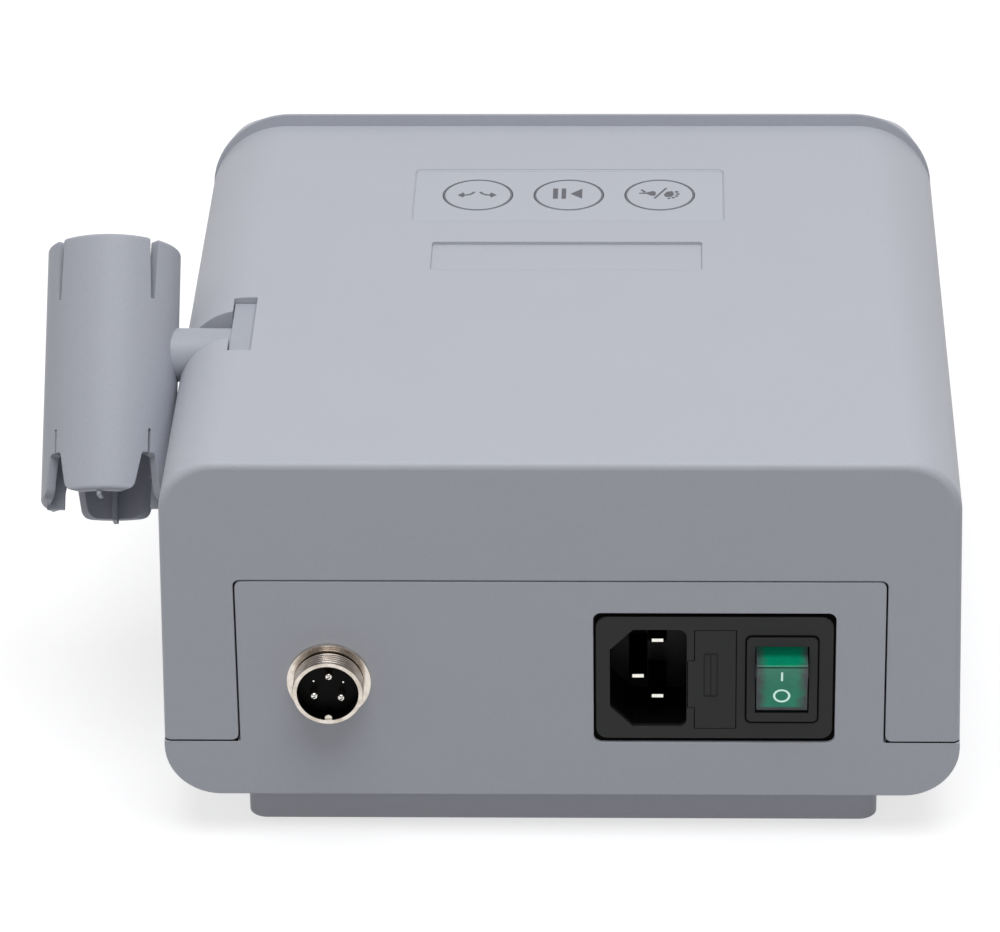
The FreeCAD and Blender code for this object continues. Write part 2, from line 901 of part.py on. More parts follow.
def add_cradle_pocket(cover):
    half_plate = size.plate_thickness / 2 + size.slot_gap
    half_long = size.plate_length / 2 + size.slot_gap
    depth = size.plate_sink + size.plate_height + size.slot_gap
    box = cover.outline("XY_Plane", z_top - depth - size.slot_wall)
    wide, long = half_plate + size.slot_wall, half_long + size.slot_wall
    box.rectangle(size.slot_shift - wide, size.slot_shift + wide, y_cradle - long, y_cradle + long)
    cover.pad(box, depth + size.slot_wall - size.wall / 2)
    reach = size.arm_diameter / 2 + size.notch_gap
    low, side, top = z_arm - reach - size.slot_wall, half_top - size.wall / 2, z_top - size.wall / 2
    boss = cover.outline("XZ_Plane", -(y_cradle + reach + size.slot_wall))
    boss.rounded(((size.slot_shift, low), (side, low), (side, top), (size.slot_shift, top)),
                 [None, None, size.section_radius, None])
    cover.pad(boss, 2 * (reach + size.slot_wall))
    slot = cover.outline("XY_Plane", z_top)
    slot.rectangle(size.slot_shift - half_plate, size.slot_shift + half_plate,
                   y_cradle - half_long, y_cradle + half_long)
    cover.pocket(slot, depth)
    notch = cover.outline("YZ_Plane", size.slot_shift)
    notch.rectangle(y_cradle - reach, y_cradle + reach, z_arm, z_top + size.cut_spare)
    cover.pocket(notch, half_width - size.slot_shift + size.cut_spare, reverse=True)
    seat = cover.outline("YZ_Plane", size.slot_shift)
    seat.circle(y_cradle, z_arm, reach * 2)
    cover.pocket(seat, half_width - size.slot_shift + size.cut_spare, reverse=True)


def add_cover_posts(cover):
    posts = cover.outline("XY_Plane", z_meet + size.seam)
    for x, y in case_spots:
        posts.circle(x, y, size.case_post_diameter)
    cover.pad(posts, z_ceiling + size.wall / 2 - z_meet - size.seam)
    pilots = cover.outline("XY_Plane", z_meet + size.seam)
    for x, y in case_spots:
        pilots.circle(x, y, size.case_screw_diameter + 2 * size.screw_pilot_gap)
    cover.pocket(pilots, size.case_screw_grip + size.pilot_spare, reverse=True)
    keypad_posts = cover.outline("XY_Plane", z_keypad_board_top)
    for x, y in keypad_post_spots:
        keypad_posts.circle(x, y, size.keypad_post_diameter)
    cover.pad(keypad_posts, z_ceiling + size.wall / 4 - z_keypad_board_top)
    pilots = cover.outline("XY_Plane", z_keypad_board_top)
    for x, y in keypad_post_spots:
        pilots.circle(x, y, size.keypad_screw_diameter + 2 * size.screw_pilot_gap)
    cover.pocket(pilots, size.keypad_screw_grip - size.board_thickness + size.pilot_spare, reverse=True)
    add_front_bosses(cover, high_spots, z_ceiling + size.wall / 2)


def add_front_bosses(shell, spots, z_root):
    """Bosses for the bezel's screws, each on a web from the roof or the floor."""
    half = size.bezel_boss_web / 2
    webs = shell.outline("XZ_Plane", -y_front)
    for x, z in spots:
        low, high = (z, z_root) if z_root.value > z.value else (z_root, z)
        webs.rectangle(x - half, x + half, low, high)
    shell.pad(webs, size.bezel_boss_length, reverse=True)
    bosses = shell.outline("XZ_Plane", -y_front)
    for x, z in spots:
        bosses.circle(x, z, size.bezel_boss_diameter)
    shell.pad(bosses, size.bezel_boss_length, reverse=True)
    holes = shell.outline("XZ_Plane", -y_front)
    for x, z in spots:
        holes.circle(x, z, pilot_diameter)
    shell.pocket(holes, size.bezel_screw_grip + size.pilot_spare)


def make_base_shell():
    base = Maker("base_shell")
    shell = base.outline("XZ_Plane", -y_rear)
    shell.rectangle(-half_width, half_width, z_body, z_part)
    base.pad(shell, size.shell_depth)
    base.fillet(size.section_radius, lambda e: lies_along(e, "y") and lies_in(e, "z", z_body))
    base.fillet(size.base_edge, lambda e: lies_in(e, "y", y_rear) and not lies_in(e, "z", z_part))
    inner = base.outline("XZ_Plane", -y_front)
    inside = half_width - size.wall
    bend = size.section_radius - size.wall
    above_part = z_part + size.cut_spare
    inner.rounded(((-inside, z_floor), (inside, z_floor), (inside, above_part), (-inside, above_part)),
                  [bend, bend, None, None])
    base.pocket(inner, size.shell_depth - size.wall)
    plinth = base.outline("XY_Plane", size.feet_proud)
    plinth.rectangle(-plinth_half_width, plinth_half_width, -plinth_half_length, plinth_half_length)
    base.pad(plinth, size.plinth_height + size.wall / 2)
    base.fillet(size.plinth_corner,
                lambda e: lies_along(e, "z") and close(e.BoundBox.ZMin, size.feet_proud.value))
    base.fillet(size.plinth_edge, lambda e: lies_in(e, "z", size.feet_proud))
    well = base.outline("XY_Plane", z_floor)
    well.rectangle(-plinth_half_width + size.wall, plinth_half_width - size.wall,
                   -plinth_half_length + size.wall, plinth_half_length - size.wall)
    base.pocket(well, z_floor - z_well)
    tongue = base.outline("XZ_Plane", -y_rear)
    reach = size.tongue_width / 2 - size.seam / 2
    tongue.rectangle(-reach, reach, z_part - size.wall, z_body + size.tongue_top - size.seam / 2)
    base.pad(tongue, size.wall)
    base.fillet(size.tongue_corner, lambda e: lies_along(e, "y")
                and e.BoundBox.YMin > y_inner_rear.value - 0.01 and above(e, z_part + size.lip_rise))
    add_base_lips(base)
    add_base_openings(base)
    add_base_posts(base)
    return base


def add_base_lips(base):
    outer = side_at(z_part) - size.wall - size.lip_gap
    lips = base.outline("XY_Plane", z_part - size.wall)
    for sign in (-1, 1):
        near, far = sign * outer, sign * (outer - size.lip_wall)
        low, high = (far, near) if sign > 0 else (near, far)
        lips.rectangle(low, high, y_front + size.lip_end_gap, y_inner_rear - size.lip_end_gap)
    base.pad(lips, size.wall + size.lip_rise)
    roots = base.outline("XY_Plane", z_part - size.wall)
    for sign in (-1, 1):
        low, high = (outer - size.lip_wall, half_width - size.wall / 2)
        if sign < 0:
            low, high = -high, -low
        roots.rectangle(low, high, y_front + size.lip_end_gap, y_inner_rear - size.lip_end_gap)
    base.pad(roots, size.wall)


def add_base_openings(base):
    socket = base.outline("XZ_Plane", -y_rear)
    socket.circle(size.pedal_shift, z_pedal, size.rear_thread_diameter + 2 * size.panel_hole_gap)
    base.pocket(socket, size.wall + size.cut_spare, reverse=True)
    margin = size.module_margin
    recess = base.outline("XZ_Plane", -y_rear)
    wide, tall = size.module_width / 2 + margin, size.module_height / 2 + size.module_gap_high
    recess.rectangle(size.module_shift - wide, size.module_shift + wide,
                     z_module - tall, z_module + tall, size.recess_corner)
    base.pocket(recess, size.module_sink, reverse=True)
    neck = base.outline("XZ_Plane", -y_rear)
    gap = size.module_hole_gap
    wide, tall = size.module_neck_width / 2 + gap, size.module_neck_height / 2 + gap
    neck.rectangle(size.module_shift - wide, size.module_shift + wide, z_module - tall, z_module + tall)
    base.pocket(neck, size.wall + size.cut_spare, reverse=True)


def add_base_posts(base):
    posts = base.outline("XY_Plane", z_well - size.wall / 2)
    for x, y in case_spots:
        posts.circle(x, y, size.case_post_diameter)
    base.pad(posts, z_meet - z_well + size.wall / 2)
    holes = base.outline("XY_Plane", size.feet_proud)
    for x, y in case_spots:
        holes.circle(x, y, size.case_screw_diameter + 2 * size.shank_gap)
    base.pocket(holes, z_meet - size.feet_proud + size.cut_spare, reverse=True)
    sinks = base.outline("XY_Plane", size.feet_proud)
    for x, y in case_spots:
        sinks.circle(x, y, size.case_screw_head + 2 * size.head_gap)
    base.pocket(sinks, z_case_seat - size.feet_proud, reverse=True)
    feet = base.outline("XY_Plane", size.feet_proud)
    for x, y in foot_spots():
        feet.circle(x, y, size.foot_diameter + 2 * size.panel_gap)
    base.pocket(feet, size.foot_recess, reverse=True)
    stands = base.outline("XY_Plane", z_well - size.wall / 2)
    for x, y in power_spots() + driver_spots():
        stands.circle(x, y, size.post_diameter)
    base.pad(stands, size.board_stand + size.wall / 2)
    pilots = base.outline("XY_Plane", z_board)
    for x, y in power_spots() + driver_spots():
        pilots.circle(x, y, pilot_diameter)
    base.pocket(pilots, size.board_screw_grip + size.pilot_spare)
    add_front_bosses(base, low_spots, z_floor - size.wall / 2)


def foot_spots():
    x = plinth_half_width - size.foot_margin
    y = plinth_half_length - size.foot_margin
    return [(sx * x, sy * y) for sx in (-1, 1) for sy in (-1, 1)]


def board_spots(x, y, width, length):
    across, along = width / 2 - size.board_margin, length / 2 - size.board_margin
    return [(x + sx * across, y + sy * along) for sx in (-1, 1) for sy in (-1, 1)]


def power_spots():
    return board_spots(size.power_board_shift, size.power_board_back,
                       size.power_board_width, size.power_board_length)


def driver_spots():
    return board_spots(size.driver_board_shift, size.driver_board_back,
                       size.driver_board_width, size.driver_board_length)


def make_rubber_feet():
    feet = []
    for x, y in foot_spots():
        pad = taper("-Z", x, y, size.feet_proud, size.foot_diameter,
                    size.foot_diameter - 2 * size.foot_taper, size.feet_proud)
        root = bar("Z", x, y, size.feet_proud, size.foot_diameter, size.foot_recess)
        feet.append(fuse(pad, root))
    keep("rubber_feet", group(*feet))


# Front


def make_front_bezel():
    bezel = Maker("front_bezel")
    top = z_top + size.bezel_lip
    rim = bezel.outline("XZ_Plane", -y_front)
    rim.rounded(((-half_width, z_body), (half_width, z_body), (half_top, top), (-half_top, top)),
                [size.section_radius, size.section_radius, size.bezel_radius, size.bezel_radius])
    low, high = half_width - size.bezel_taper, half_top - size.bezel_taper
    foot, top = z_body + size.bezel_taper, top - size.bezel_fall
    front = bezel.outline("XZ_Plane", -y_face)
    front.rounded(((-low, foot), (low, foot), (high, top), (-high, top)), [size.bezel_front_radius] * 4)
    bezel.blend(rim, front)
    bezel.fillet(size.bezel_edge, lambda e: lies_in(e, "y", y_face))
    bezel.fillet(size.bezel_back_edge, lambda e: lies_in(e, "y", y_front))
    reach, low, high = panel_hole()
    sink = bezel.outline("XZ_Plane", -y_face)
    sink.rectangle(-reach, reach, low, high, size.bezel_corner)
    bezel.pocket(sink, size.bezel_sink + size.panel_thickness)
    back = bezel.outline("XZ_Plane", -y_front)
    side = half_top - size.wall - size.bezel_back_margin
    back.rectangle(-side, side, z_floor + size.bezel_back_margin, z_ceiling - size.bezel_back_margin)
    bezel.pocket(back, y_front - y_bezel_wall, reverse=True)
    pads = bezel.outline("XZ_Plane", -y_bezel_wall)
    for x, z in low_spots + high_spots:
        pads.circle(x, z, size.bezel_boss_diameter)
    bezel.pad(pads, y_front - y_bezel_wall, reverse=True)
    holes = bezel.outline("XZ_Plane", -y_face)
    holes.circle(size.knob_shift, z_knob, size.bushing_diameter + 2 * size.bushing_hole_gap)
    holes.circle(size.handpiece_shift, z_handpiece, size.rear_thread_diameter + 2 * size.panel_hole_gap)
    holes.rectangle(size.window_shift - size.window_width / 2, size.window_shift + size.window_width / 2,
                    z_window - size.window_height / 2, z_window + size.window_height / 2)
    for x, z in low_spots + high_spots:
        holes.circle(x, z, size.board_screw_diameter + 2 * size.shank_gap)
    bezel.pocket(holes, size.bezel_depth + size.cut_spare)
    sinks = bezel.outline("XZ_Plane", -y_panel_back)
    for x, z in low_spots + high_spots:
        sinks.circle(x, z, size.board_screw_head + 2 * size.head_gap)
    bezel.pocket(sinks, size.bezel_seat)
    posts = bezel.outline("XZ_Plane", -y_bezel_wall)
    for x, z in control_spots():
        posts.circle(x, z, size.control_post_diameter)
    bezel.pad(posts, size.control_board_gap, reverse=True)
    pilots = bezel.outline("XZ_Plane", -y_control_board)
    for x, z in control_spots():
        pilots.circle(x, z, pilot_diameter)
    bezel.pocket(pilots, size.board_screw_grip + size.pilot_spare, reverse=True)
    return bezel


def panel_hole():
    return (half_top - size.bezel_rim, z_body + size.bezel_rim, z_top + size.bezel_lip - size.bezel_rim)


def control_spots():
    across = size.control_board_width / 2 - size.board_margin
    up = size.control_board_height / 2 - size.board_margin
    z = z_body + size.control_board_rise
    return [(size.control_board_shift + sx * across, z + sz * up) for sx in (-1, 1) for sz in (-1, 1)]


def make_front_panel():
    panel = Maker("front_panel")
    reach, low, high = panel_hole()
    gap = size.panel_gap
    plate = panel.outline("XZ_Plane", -y_panel_back)
    plate.rectangle(-reach + gap, reach - gap, low + gap, high - gap)
    panel.pad(plate, size.panel_thickness)
    panel.fillet(size.bezel_corner - gap, lambda e: lies_along(e, "y"))
    holes = panel.outline("XZ_Plane", -y_panel_front)
    holes.circle(size.knob_shift, z_knob, size.pot_nut_across + 2 * size.panel_nut_gap)
    holes.circle(size.handpiece_shift, z_handpiece, size.flange_diameter + 2 * size.flange_gap)
    holes.rectangle(size.window_shift - size.window_width / 2, size.window_shift + size.window_width / 2,
                    z_window - size.window_height / 2, z_window + size.window_height / 2)
    panel.pocket(holes, size.panel_thickness + size.cut_spare)
    panel.fillet(size.window_corner, lambda e: lies_along(e, "y")
                 and abs(e.CenterOfMass.x - size.window_shift.value) <= size.window_width.value * 0.51
                 and abs(e.CenterOfMass.z - z_window.value) <= size.window_height.value * 0.51)


def make_display_window():
    window = Maker("display_window")
    gap = size.window_gap
    x, wide, tall = size.window_shift, size.window_width / 2 - gap, size.window_height / 2 - gap
    plate = window.outline("XZ_Plane", -y_panel_back)
    plate.rectangle(x - wide, x + wide, z_window - tall, z_window + tall)
    window.pad(plate, size.panel_thickness)
    window.fillet(size.window_corner - gap, lambda e: lies_along(e, "y"))
    root = window.outline("XZ_Plane", -y_panel_back)
    wide = wide - size.window_corner
    root.rectangle(x - wide, x + wide, z_window - tall, z_window + tall)
    window.pad(root, size.window_root, reverse=True)


def make_control_board():
    z = z_body + size.control_board_rise
    board = middle_block(size.control_board_shift, size.control_board_width, y_control_board,
                         y_control_board + size.board_thickness, z, size.control_board_height)
    holes = [bar("Y", x, y_control_board - size.cut_spare, spot, board_hole,
                 size.board_thickness + 2 * size.cut_spare) for x, spot in control_spots()]
    keep("control_board", cut(board, *holes))
    display = middle_block(size.window_shift, size.display_width, y_control_board - size.display_thickness,
                           y_control_board, z_window, size.display_height)
    keep("display_module", display)


def screw(axis, x, y, z, diameter, head, head_height, grip):
    """A pan head screw: its head starts at the point and stands against the axis."""
    signs = {"Y": (0, -1), "-Y": (0, 1), "Z": (-1, 0), "-Z": (1, 0)}
    sz, sy = signs[axis]
    top = (x, y + sy * head_height, z + sz * head_height)
    body = bar(axis, top[0], top[1], top[2], head, head_height)
    shank = bar(axis, x, y, z, diameter, grip)
    depth = head_height * 0.6
    arm = head * 0.3
    across = diameter * 0.25
    recess = []
    if sz:
        low = top[2] if sz < 0 else top[2] - depth
        recess.append(block(x - arm, x + arm, y - across, y + across, low, low + depth))
        recess.append(block(x - across, x + across, y - arm, y + arm, low, low + depth))
    if sy:
        low = top[1] if sy < 0 else top[1] - depth
        recess.append(block(x - arm, x + arm, low, low + depth, z - across, z + across))
        recess.append(block(x - across, x + across, low, low + depth, z - arm, z + arm))
    return cut(fuse(body, shank), *recess)


def board_screw(axis, x, y, z):
    return screw(axis, x, y, z, size.board_screw_diameter, size.board_screw_head,
                 size.board_head_height, size.board_screw_grip)


def make_screws():
    case_screws = [screw("Z", x, y, z_case_seat, size.case_screw_diameter, size.case_screw_head,
                         size.case_head_height, size.case_seat + size.seam + size.case_screw_grip)
                   for x, y in case_spots]
    keep("case_screws", group(*case_screws))
    spots = power_spots() + driver_spots()
    keep("board_screws", group(*[board_screw("-Z", x, y, z_board_top) for x, y in spots]))
    y_seat = y_control_board + size.board_thickness
    keep("control_board_screws", group(*[board_screw("-Y", x, y_seat, z) for x, z in control_spots()]))
    grip = y_front - y_bezel_seat + size.bezel_screw_grip
    keep("bezel_screws", group(*[screw("Y", x, y_bezel_seat, z, size.board_screw_diameter,
                                       size.board_screw_head, size.board_head_height, grip)
                                 for x, z in low_spots + high_spots]))
    keep("keypad_board_screws", group(*[screw("Z", x, y, z_keypad_board, size.keypad_screw_diameter,
                                              size.keypad_screw_head, size.keypad_head_height,
                                              size.keypad_screw_grip) for x, y in keypad_post_spots]))


# Keypad


def make_keypad():
    panel = Maker("keypad_panel")
    gap = size.panel_gap / 2
    reach, along = size.keypad_width / 2 - gap, size.keypad_length / 2 - gap
    plate = panel.outline("XY_Plane", z_keypad_floor)
    plate.rectangle(-reach, reach, y_keypad - along, y_keypad + along)
    panel.pad(plate, size.keypad_thickness)
    panel.fillet(size.keypad_corner - gap, lambda e: lies_along(e, "z"))
    holes = panel.outline("XY_Plane", z_keypad_top)
    for x in key_spots:
        holes.circle(x, y_keys, size.key_diameter + 2 * size.key_gap)
    panel.pocket(holes, size.keypad_thickness + size.cut_spare)
    for name, x in zip(("key_hand_foot", "key_run_pause", "key_direction"), key_spots):
        make_key(name, x)
    make_keypad_board()


def make_key(name, x):
    cap = bar("Z", x, y_keys, z_key_flange, size.key_diameter, z_keypad_top - z_key_flange)
    flange = bar("Z", x, y_keys, z_key_flange, size.key_diameter + 2 * size.key_flange,
                 size.key_flange_thickness)
    stem = bar("-Z", x, y_keys, z_key_flange, size.key_stem_diameter, size.key_stem_length)
    keep(name, fuse(cap, flange, stem))


def make_keypad_board():
    board = block(-size.keypad_board_width / 2, size.keypad_board_width / 2,
                  y_keypad - size.keypad_board_length / 2, y_keypad + size.keypad_board_length / 2,
                  z_keypad_board, z_keypad_board_top)
    hole = size.keypad_screw_diameter + 2 * size.board_hole_gap
    holes = [bar("Z", x, y, z_keypad_board - size.cut_spare, hole, size.board_thickness + 2 * size.cut_spare)
             for x, y in keypad_post_spots]
    keep("keypad_board", cut(board, *holes))
    switches = []
    for x in key_spots:
        half = size.switch_side / 2
        body = block(x - half, x + half, y_keys - half, y_keys + half, z_keypad_board_top, z_switch)
        well = bar("-Z", x, y_keys, z_switch + size.cut_spare, size.switch_well,
                   size.cut_spare + 2 * size.key_travel)
        switches.append(cut(body, well))
    keep("tact_switches", group(*switches))


# Cradle


def jaw_gap(outline):
    """The gap between two jaws: a kerf, a round shoulder, a flare and the jaws' round corners."""
    kerf, start, end = size.kerf_width / 2, size.jaw_start_width / 2, size.jaw_end_width / 2
    mouth = end + 2 * size.jaw_corner
    low, top = -size.tube_below, -size.jaw_start
    shoulder, corner = size.jaw_shoulder / 2, size.jaw_corner
    right = [(mouth, low - size.cut_spare), (mouth, low), (end, low), (start, top), (kerf, top),
             (kerf, -size.kerf_start)]
    left = [(-x, y) for x, y in reversed(right)]
    half = [None, None, corner, shoulder, None, None]
    return outline.rounded(right + left, half + half[::-1])


def upper_gap(outline):
    """The tapered slot between two upper petals, with the petals' round corners beside it."""
    narrow, wide = size.upper_slot_narrow / 2, size.upper_slot_wide / 2
    top, corner = size.tube_above, size.petal_corner
    mouth = wide + 2 * corner
    right = [(narrow, top - size.upper_slot_length), (wide, top), (mouth, top), (mouth, top + size.cut_spare)]
    left = [(-x, y) for x, y in reversed(right)]
    return outline.rounded(right + left, [None, corner, None, None, None, None, corner, None])


def spin(piece, angle):
    """Turns a piece about the tube's own axis."""
    angle = as_size(angle)
    turn = FreeCAD.Rotation(FreeCAD.Vector(0, 0, 1), angle.value)
    piece.Placement = FreeCAD.Placement(FreeCAD.Vector(), turn)
    piece.setExpression(".Placement.Rotation.Angle", angle.text)


def make_cradle():
    tube = doc.addObject("PartDesign::Body", "CradleTube")
    maker = Maker.__new__(Maker)
    maker.body = tube
    ring = maker.outline("XY_Plane", -size.tube_below)
    ring.circle(0.0, 0.0, size.tube_diameter)
    maker.pad(ring, size.tube_above + size.tube_below)
    ends = (size.tube_above, -size.tube_below)
    maker.fillet(size.tube_edge, lambda e: any(lies_in(e, "z", end) for end in ends))
    bore = maker.outline("XY_Plane", size.tube_above)
    bore.circle(0.0, 0.0, size.tube_diameter - 2 * size.tube_wall)
    maker.pocket(bore, size.tube_above + size.tube_below + size.cut_spare)
    wider = maker.outline("XY_Plane", -size.tube_below)
    wider.circle(0.0, 0.0, size.tube_diameter - 2 * size.tube_wall + 2 * size.jaw_bore_step)
    maker.pocket(wider, size.tube_below - size.kerf_start, reverse=True)
    for plane in ("XZ_Plane", "YZ_Plane"):
        maker.pocket_through(upper_gap(maker.outline(plane)))
        maker.pocket_through(jaw_gap(maker.outline(plane)))
    spin(tube, size.tube_spin + 45)
    ribs = []
    inner = size.tube_diameter / 2 - size.tube_wall
    half = size.jaw_rib_width / 2
    low, high = -size.tube_below - size.jaw_rib_proud, -size.tube_below + size.jaw_rib_length
    near, far = inner - size.jaw_rib_height, inner + size.tube_wall / 2
    ribs.append(block(near, far, -half, half, low, high))
    ribs.append(block(-far, -near, -half, half, low, high))
    ribs.append(block(-half, half, near, far, low, high))
    ribs.append(block(-half, half, -far, -near, low, high))
    ribs = group(*ribs)
    spin(ribs, size.tube_spin)
    jaws = fuse(tube, ribs)
    tilt = FreeCAD.Rotation(FreeCAD.Vector(1, 0, 0), size.tube_tilt.value)
    jaws.Placement = FreeCAD.Placement(FreeCAD.Vector(), tilt)
    jaws.setExpression(".Placement.Rotation.Angle", size.tube_tilt.text)
    set_base(jaws, size.tube_shift, y_cradle, z_arm)
    wall_middle = size.tube_diameter / 2 - size.tube_wall * 0.75
    x_plate = size.slot_shift + size.plate_thickness / 2
    arm = bar("X", x_plate - size.plate_thickness / 2, y_cradle, z_arm, size.arm_diameter,
              size.tube_shift - wall_middle - x_plate + size.plate_thickness / 2)
    plate = block(x_plate - size.plate_thickness, x_plate, y_cradle - size.plate_length / 2,
                  y_cradle + size.plate_length / 2, z_top - size.plate_sink - size.plate_height,
                  z_top - size.plate_sink)
    keep("handpiece_cradle", fuse(jaws, arm, plate))


# Round sockets


def make_round_socket(prefix, x, z, y, sign, pins):
    """A panel socket whose mouth faces sign times +Y, with its flange on the plane y."""
    out = "Y" if sign > 0 else "-Y"
    inward = "-Y" if sign > 0 else "Y"
    flange = bar(out, x, y, z, size.flange_diameter, size.flange_thickness)
    root = y + sign * size.flange_thickness
    parts = [flange, bar(out, x, root, z, size.thread_diameter - 2 * size.thread_depth, size.barrel_length)]
    crest = size.thread_pitch / 2
    for number in range(int(SIZES["thread_count"])):
        start = root + sign * (size.thread_pitch * number + size.thread_start)
        parts.append(taper(out, x, start, z, size.thread_diameter - 2 * size.thread_depth,
                           size.thread_diameter, crest))
        parts.append(taper(out, x, start + sign * crest, z, size.thread_diameter,
                           size.thread_diameter - 2 * size.thread_depth, crest))
    parts.append(bar(inward, x, y, z, size.rear_thread_diameter, size.rear_thread_length))
    floor = size.insulator_sink
    mouth = y + sign * (size.flange_thickness + size.barrel_length)
    parts.append(bar(inward, x, mouth, z, size.lip_diameter, size.lip_length))
    whole = size.flange_thickness + size.barrel_length + size.rear_thread_length
    bore = bar(inward, x, mouth + sign * size.cut_spare, z, size.socket_bore, whole + 2 * size.cut_spare)
    shell = cut(fuse(*parts), bore)
    keep(prefix + "_shell", fuse(shell, socket_key(x, z, mouth, sign)))
    face = mouth - sign * floor
    depth = size.flange_thickness + size.barrel_length + size.rear_thread_length - floor
    disc = bar(inward, x, face, z, size.socket_bore - 2 * size.insulator_gap, depth)
    pin_holes = []
    pins_made = []
    for number in range(pins):
        angle = math.radians(90 + SIZES["pin_turn"] + 360 * number / pins)
        px = x + size.pin_circle / 2 * math.cos(angle)
        pz = z + size.pin_circle / 2 * math.sin(angle)
        tip = face + sign * size.pin_length
        whole = size.pin_length + depth + size.solder_cup_length
        shoulder = tip - sign * size.pin_diameter / 2
        body = bar(inward, px, shoulder, pz, size.pin_diameter, whole - size.pin_diameter / 2)
        pins_made.append(fuse(body, ball(px, shoulder, pz, size.pin_diameter)))
        pin_holes.append(bar(inward, px, face + sign * size.cut_spare, pz,
                             size.pin_diameter + 2 * size.contact_gap, depth + 2 * size.cut_spare))
    keep(prefix + "_insulator", cut(disc, *pin_holes))
    keep(prefix + "_pins", group(*pins_made))


def socket_key(x, z, mouth, sign):
    """The round ridge at the bottom of a socket's bore, cut off inside the bore's wall."""
    wall, width = z - size.socket_bore / 2, size.socket_key_width
    y_end = mouth - sign * size.socket_key_sink
    length = size.insulator_sink - size.socket_key_sink
    ridge = bar("-Y" if sign > 0 else "Y", x, y_end, wall + size.socket_key_height - width / 2, width, length)
    spare = size.cut_spare
    y0, y1 = (y_end - length - spare, y_end + spare) if sign > 0 else (y_end - spare, y_end + length + spare)
    low = wall - size.socket_key_root
    return cut(ridge, block(x - width, x + width, y0, y1, low - width, low))


def socket_nut(label, x, y, z, sign):
    """The nut on the inside, its face on the plane y."""
    inward = "-Y" if sign > 0 else "Y"
    body = bar(inward, x, y, z, size.nut_diameter, size.nut_thickness)
    hole = bar(inward, x, y + sign * size.cut_spare, z, size.rear_thread_diameter + 2 * size.contact_gap,
               size.nut_thickness + 2 * size.cut_spare)
    reach = size.nut_diameter / 2
    flats = []
    for side in (-1, 1):
        low, high = x + side * (reach - size.nut_flat), x + side * (reach + size.cut_spare)
        if side < 0:
            low, high = high, low
        y0, y1 = y - size.nut_thickness - size.cut_spare, y + size.cut_spare
        if sign < 0:
            y0, y1 = y - size.cut_spare, y + size.nut_thickness + size.cut_spare
        flats.append(block(low, high, y0, y1, z - reach, z + reach))
    keep(label, cut(body, hole, *flats))


# Mains module


def make_mains_module():
    module = Maker("mains_module_body")
    y_flange = y_rear
    y_seat = y_rear - size.module_sink
    flange = module.outline("XZ_Plane", -y_flange)
    x, z = size.module_shift, z_module
    half_w, half_h = size.module_width / 2, size.module_height / 2
    flange.rectangle(x - half_w, x + half_w, z - half_h, z + half_h)
    module.pad(flange, size.module_sink)
    module.fillet(size.module_corner, lambda e: lies_along(e, "y"))
    module.fillet(size.module_edge, lambda e: lies_in(e, "y", y_flange))
    neck = module.outline("XZ_Plane", -y_seat)
    half_w, half_h = size.module_neck_width / 2, size.module_neck_height / 2
    neck.rectangle(x - half_w, x + half_w, z - half_h, z + half_h)
    module.pad(neck, size.module_neck_length)
    inlet = module.outline("XZ_Plane", -y_flange)
    inlet_outline(inlet)
    module.pocket(inlet, size.inlet_depth, reverse=True)
    drawer = module.outline("XZ_Plane", -y_flange)
    gap = size.drawer_gap
    drawer.rectangle(x_drawer - size.drawer_width / 2 - gap, x_drawer + size.drawer_width / 2 + gap,
                     z_drawer - size.drawer_height / 2 - gap, z_drawer + size.drawer_height / 2 + gap)
    module.pocket(drawer, size.drawer_face, reverse=True)
    tray = module.outline("XZ_Plane", -y_flange)
    tray.rectangle(x_drawer - size.drawer_body_width / 2 - gap, x_drawer + size.drawer_body_width / 2 + gap,
                   z_drawer - size.drawer_body_height / 2 - gap, z_drawer + size.drawer_body_height / 2 + gap)
    module.pocket(tray, size.drawer_body_length + size.drawer_face + gap, reverse=True)
    finger = module.outline("XZ_Plane", -y_flange)
    x_edge = x_drawer + size.drawer_width / 2
    z_low, z_high = drawer_tab_ends()
    finger.rectangle(x_edge - size.cut_spare, x_edge + size.drawer_tab_width + gap, z_low - gap, z_high + gap)
    module.pocket(finger, size.drawer_face, reverse=True)
    y_snap = y_inner_rear - size.snap_gap
    snaps = module.outline("XZ_Plane", -y_snap)
    outer, root = half_h + size.snap_height, half_h - size.snap_root
    for low, high in ((z - outer, z - root), (z + root, z + outer)):
        snaps.rectangle(x - size.snap_width / 2, x + size.snap_width / 2, low, high)
    module.pad(snaps, size.snap_length)
    switch = module.outline("XZ_Plane", -y_flange)
    gap = size.frame_gap
    half_w, half_h = switch_body_half()
    wide, tall = half_w + gap, half_h + gap
    switch.rectangle(x_switch - wide, x_switch + wide, z - tall, z + tall)
    module.pocket(switch, size.module_sink + size.module_neck_length + size.cut_spare, reverse=True)
    slots = module.outline("XZ_Plane", -(y_rear - size.inlet_depth))
    for blade_x, blade_z, _ in blade_spots():
        slots.rectangle(blade_x - size.blade_width / 2, blade_x + size.blade_width / 2,
                        blade_z - size.blade_thickness / 2, blade_z + size.blade_thickness / 2)
    behind = size.module_sink + size.module_neck_length - size.inlet_depth
    module.pocket(slots, behind + size.cut_spare, reverse=True)
    make_inlet_blades()
    make_fuse_drawer()
    make_switch()


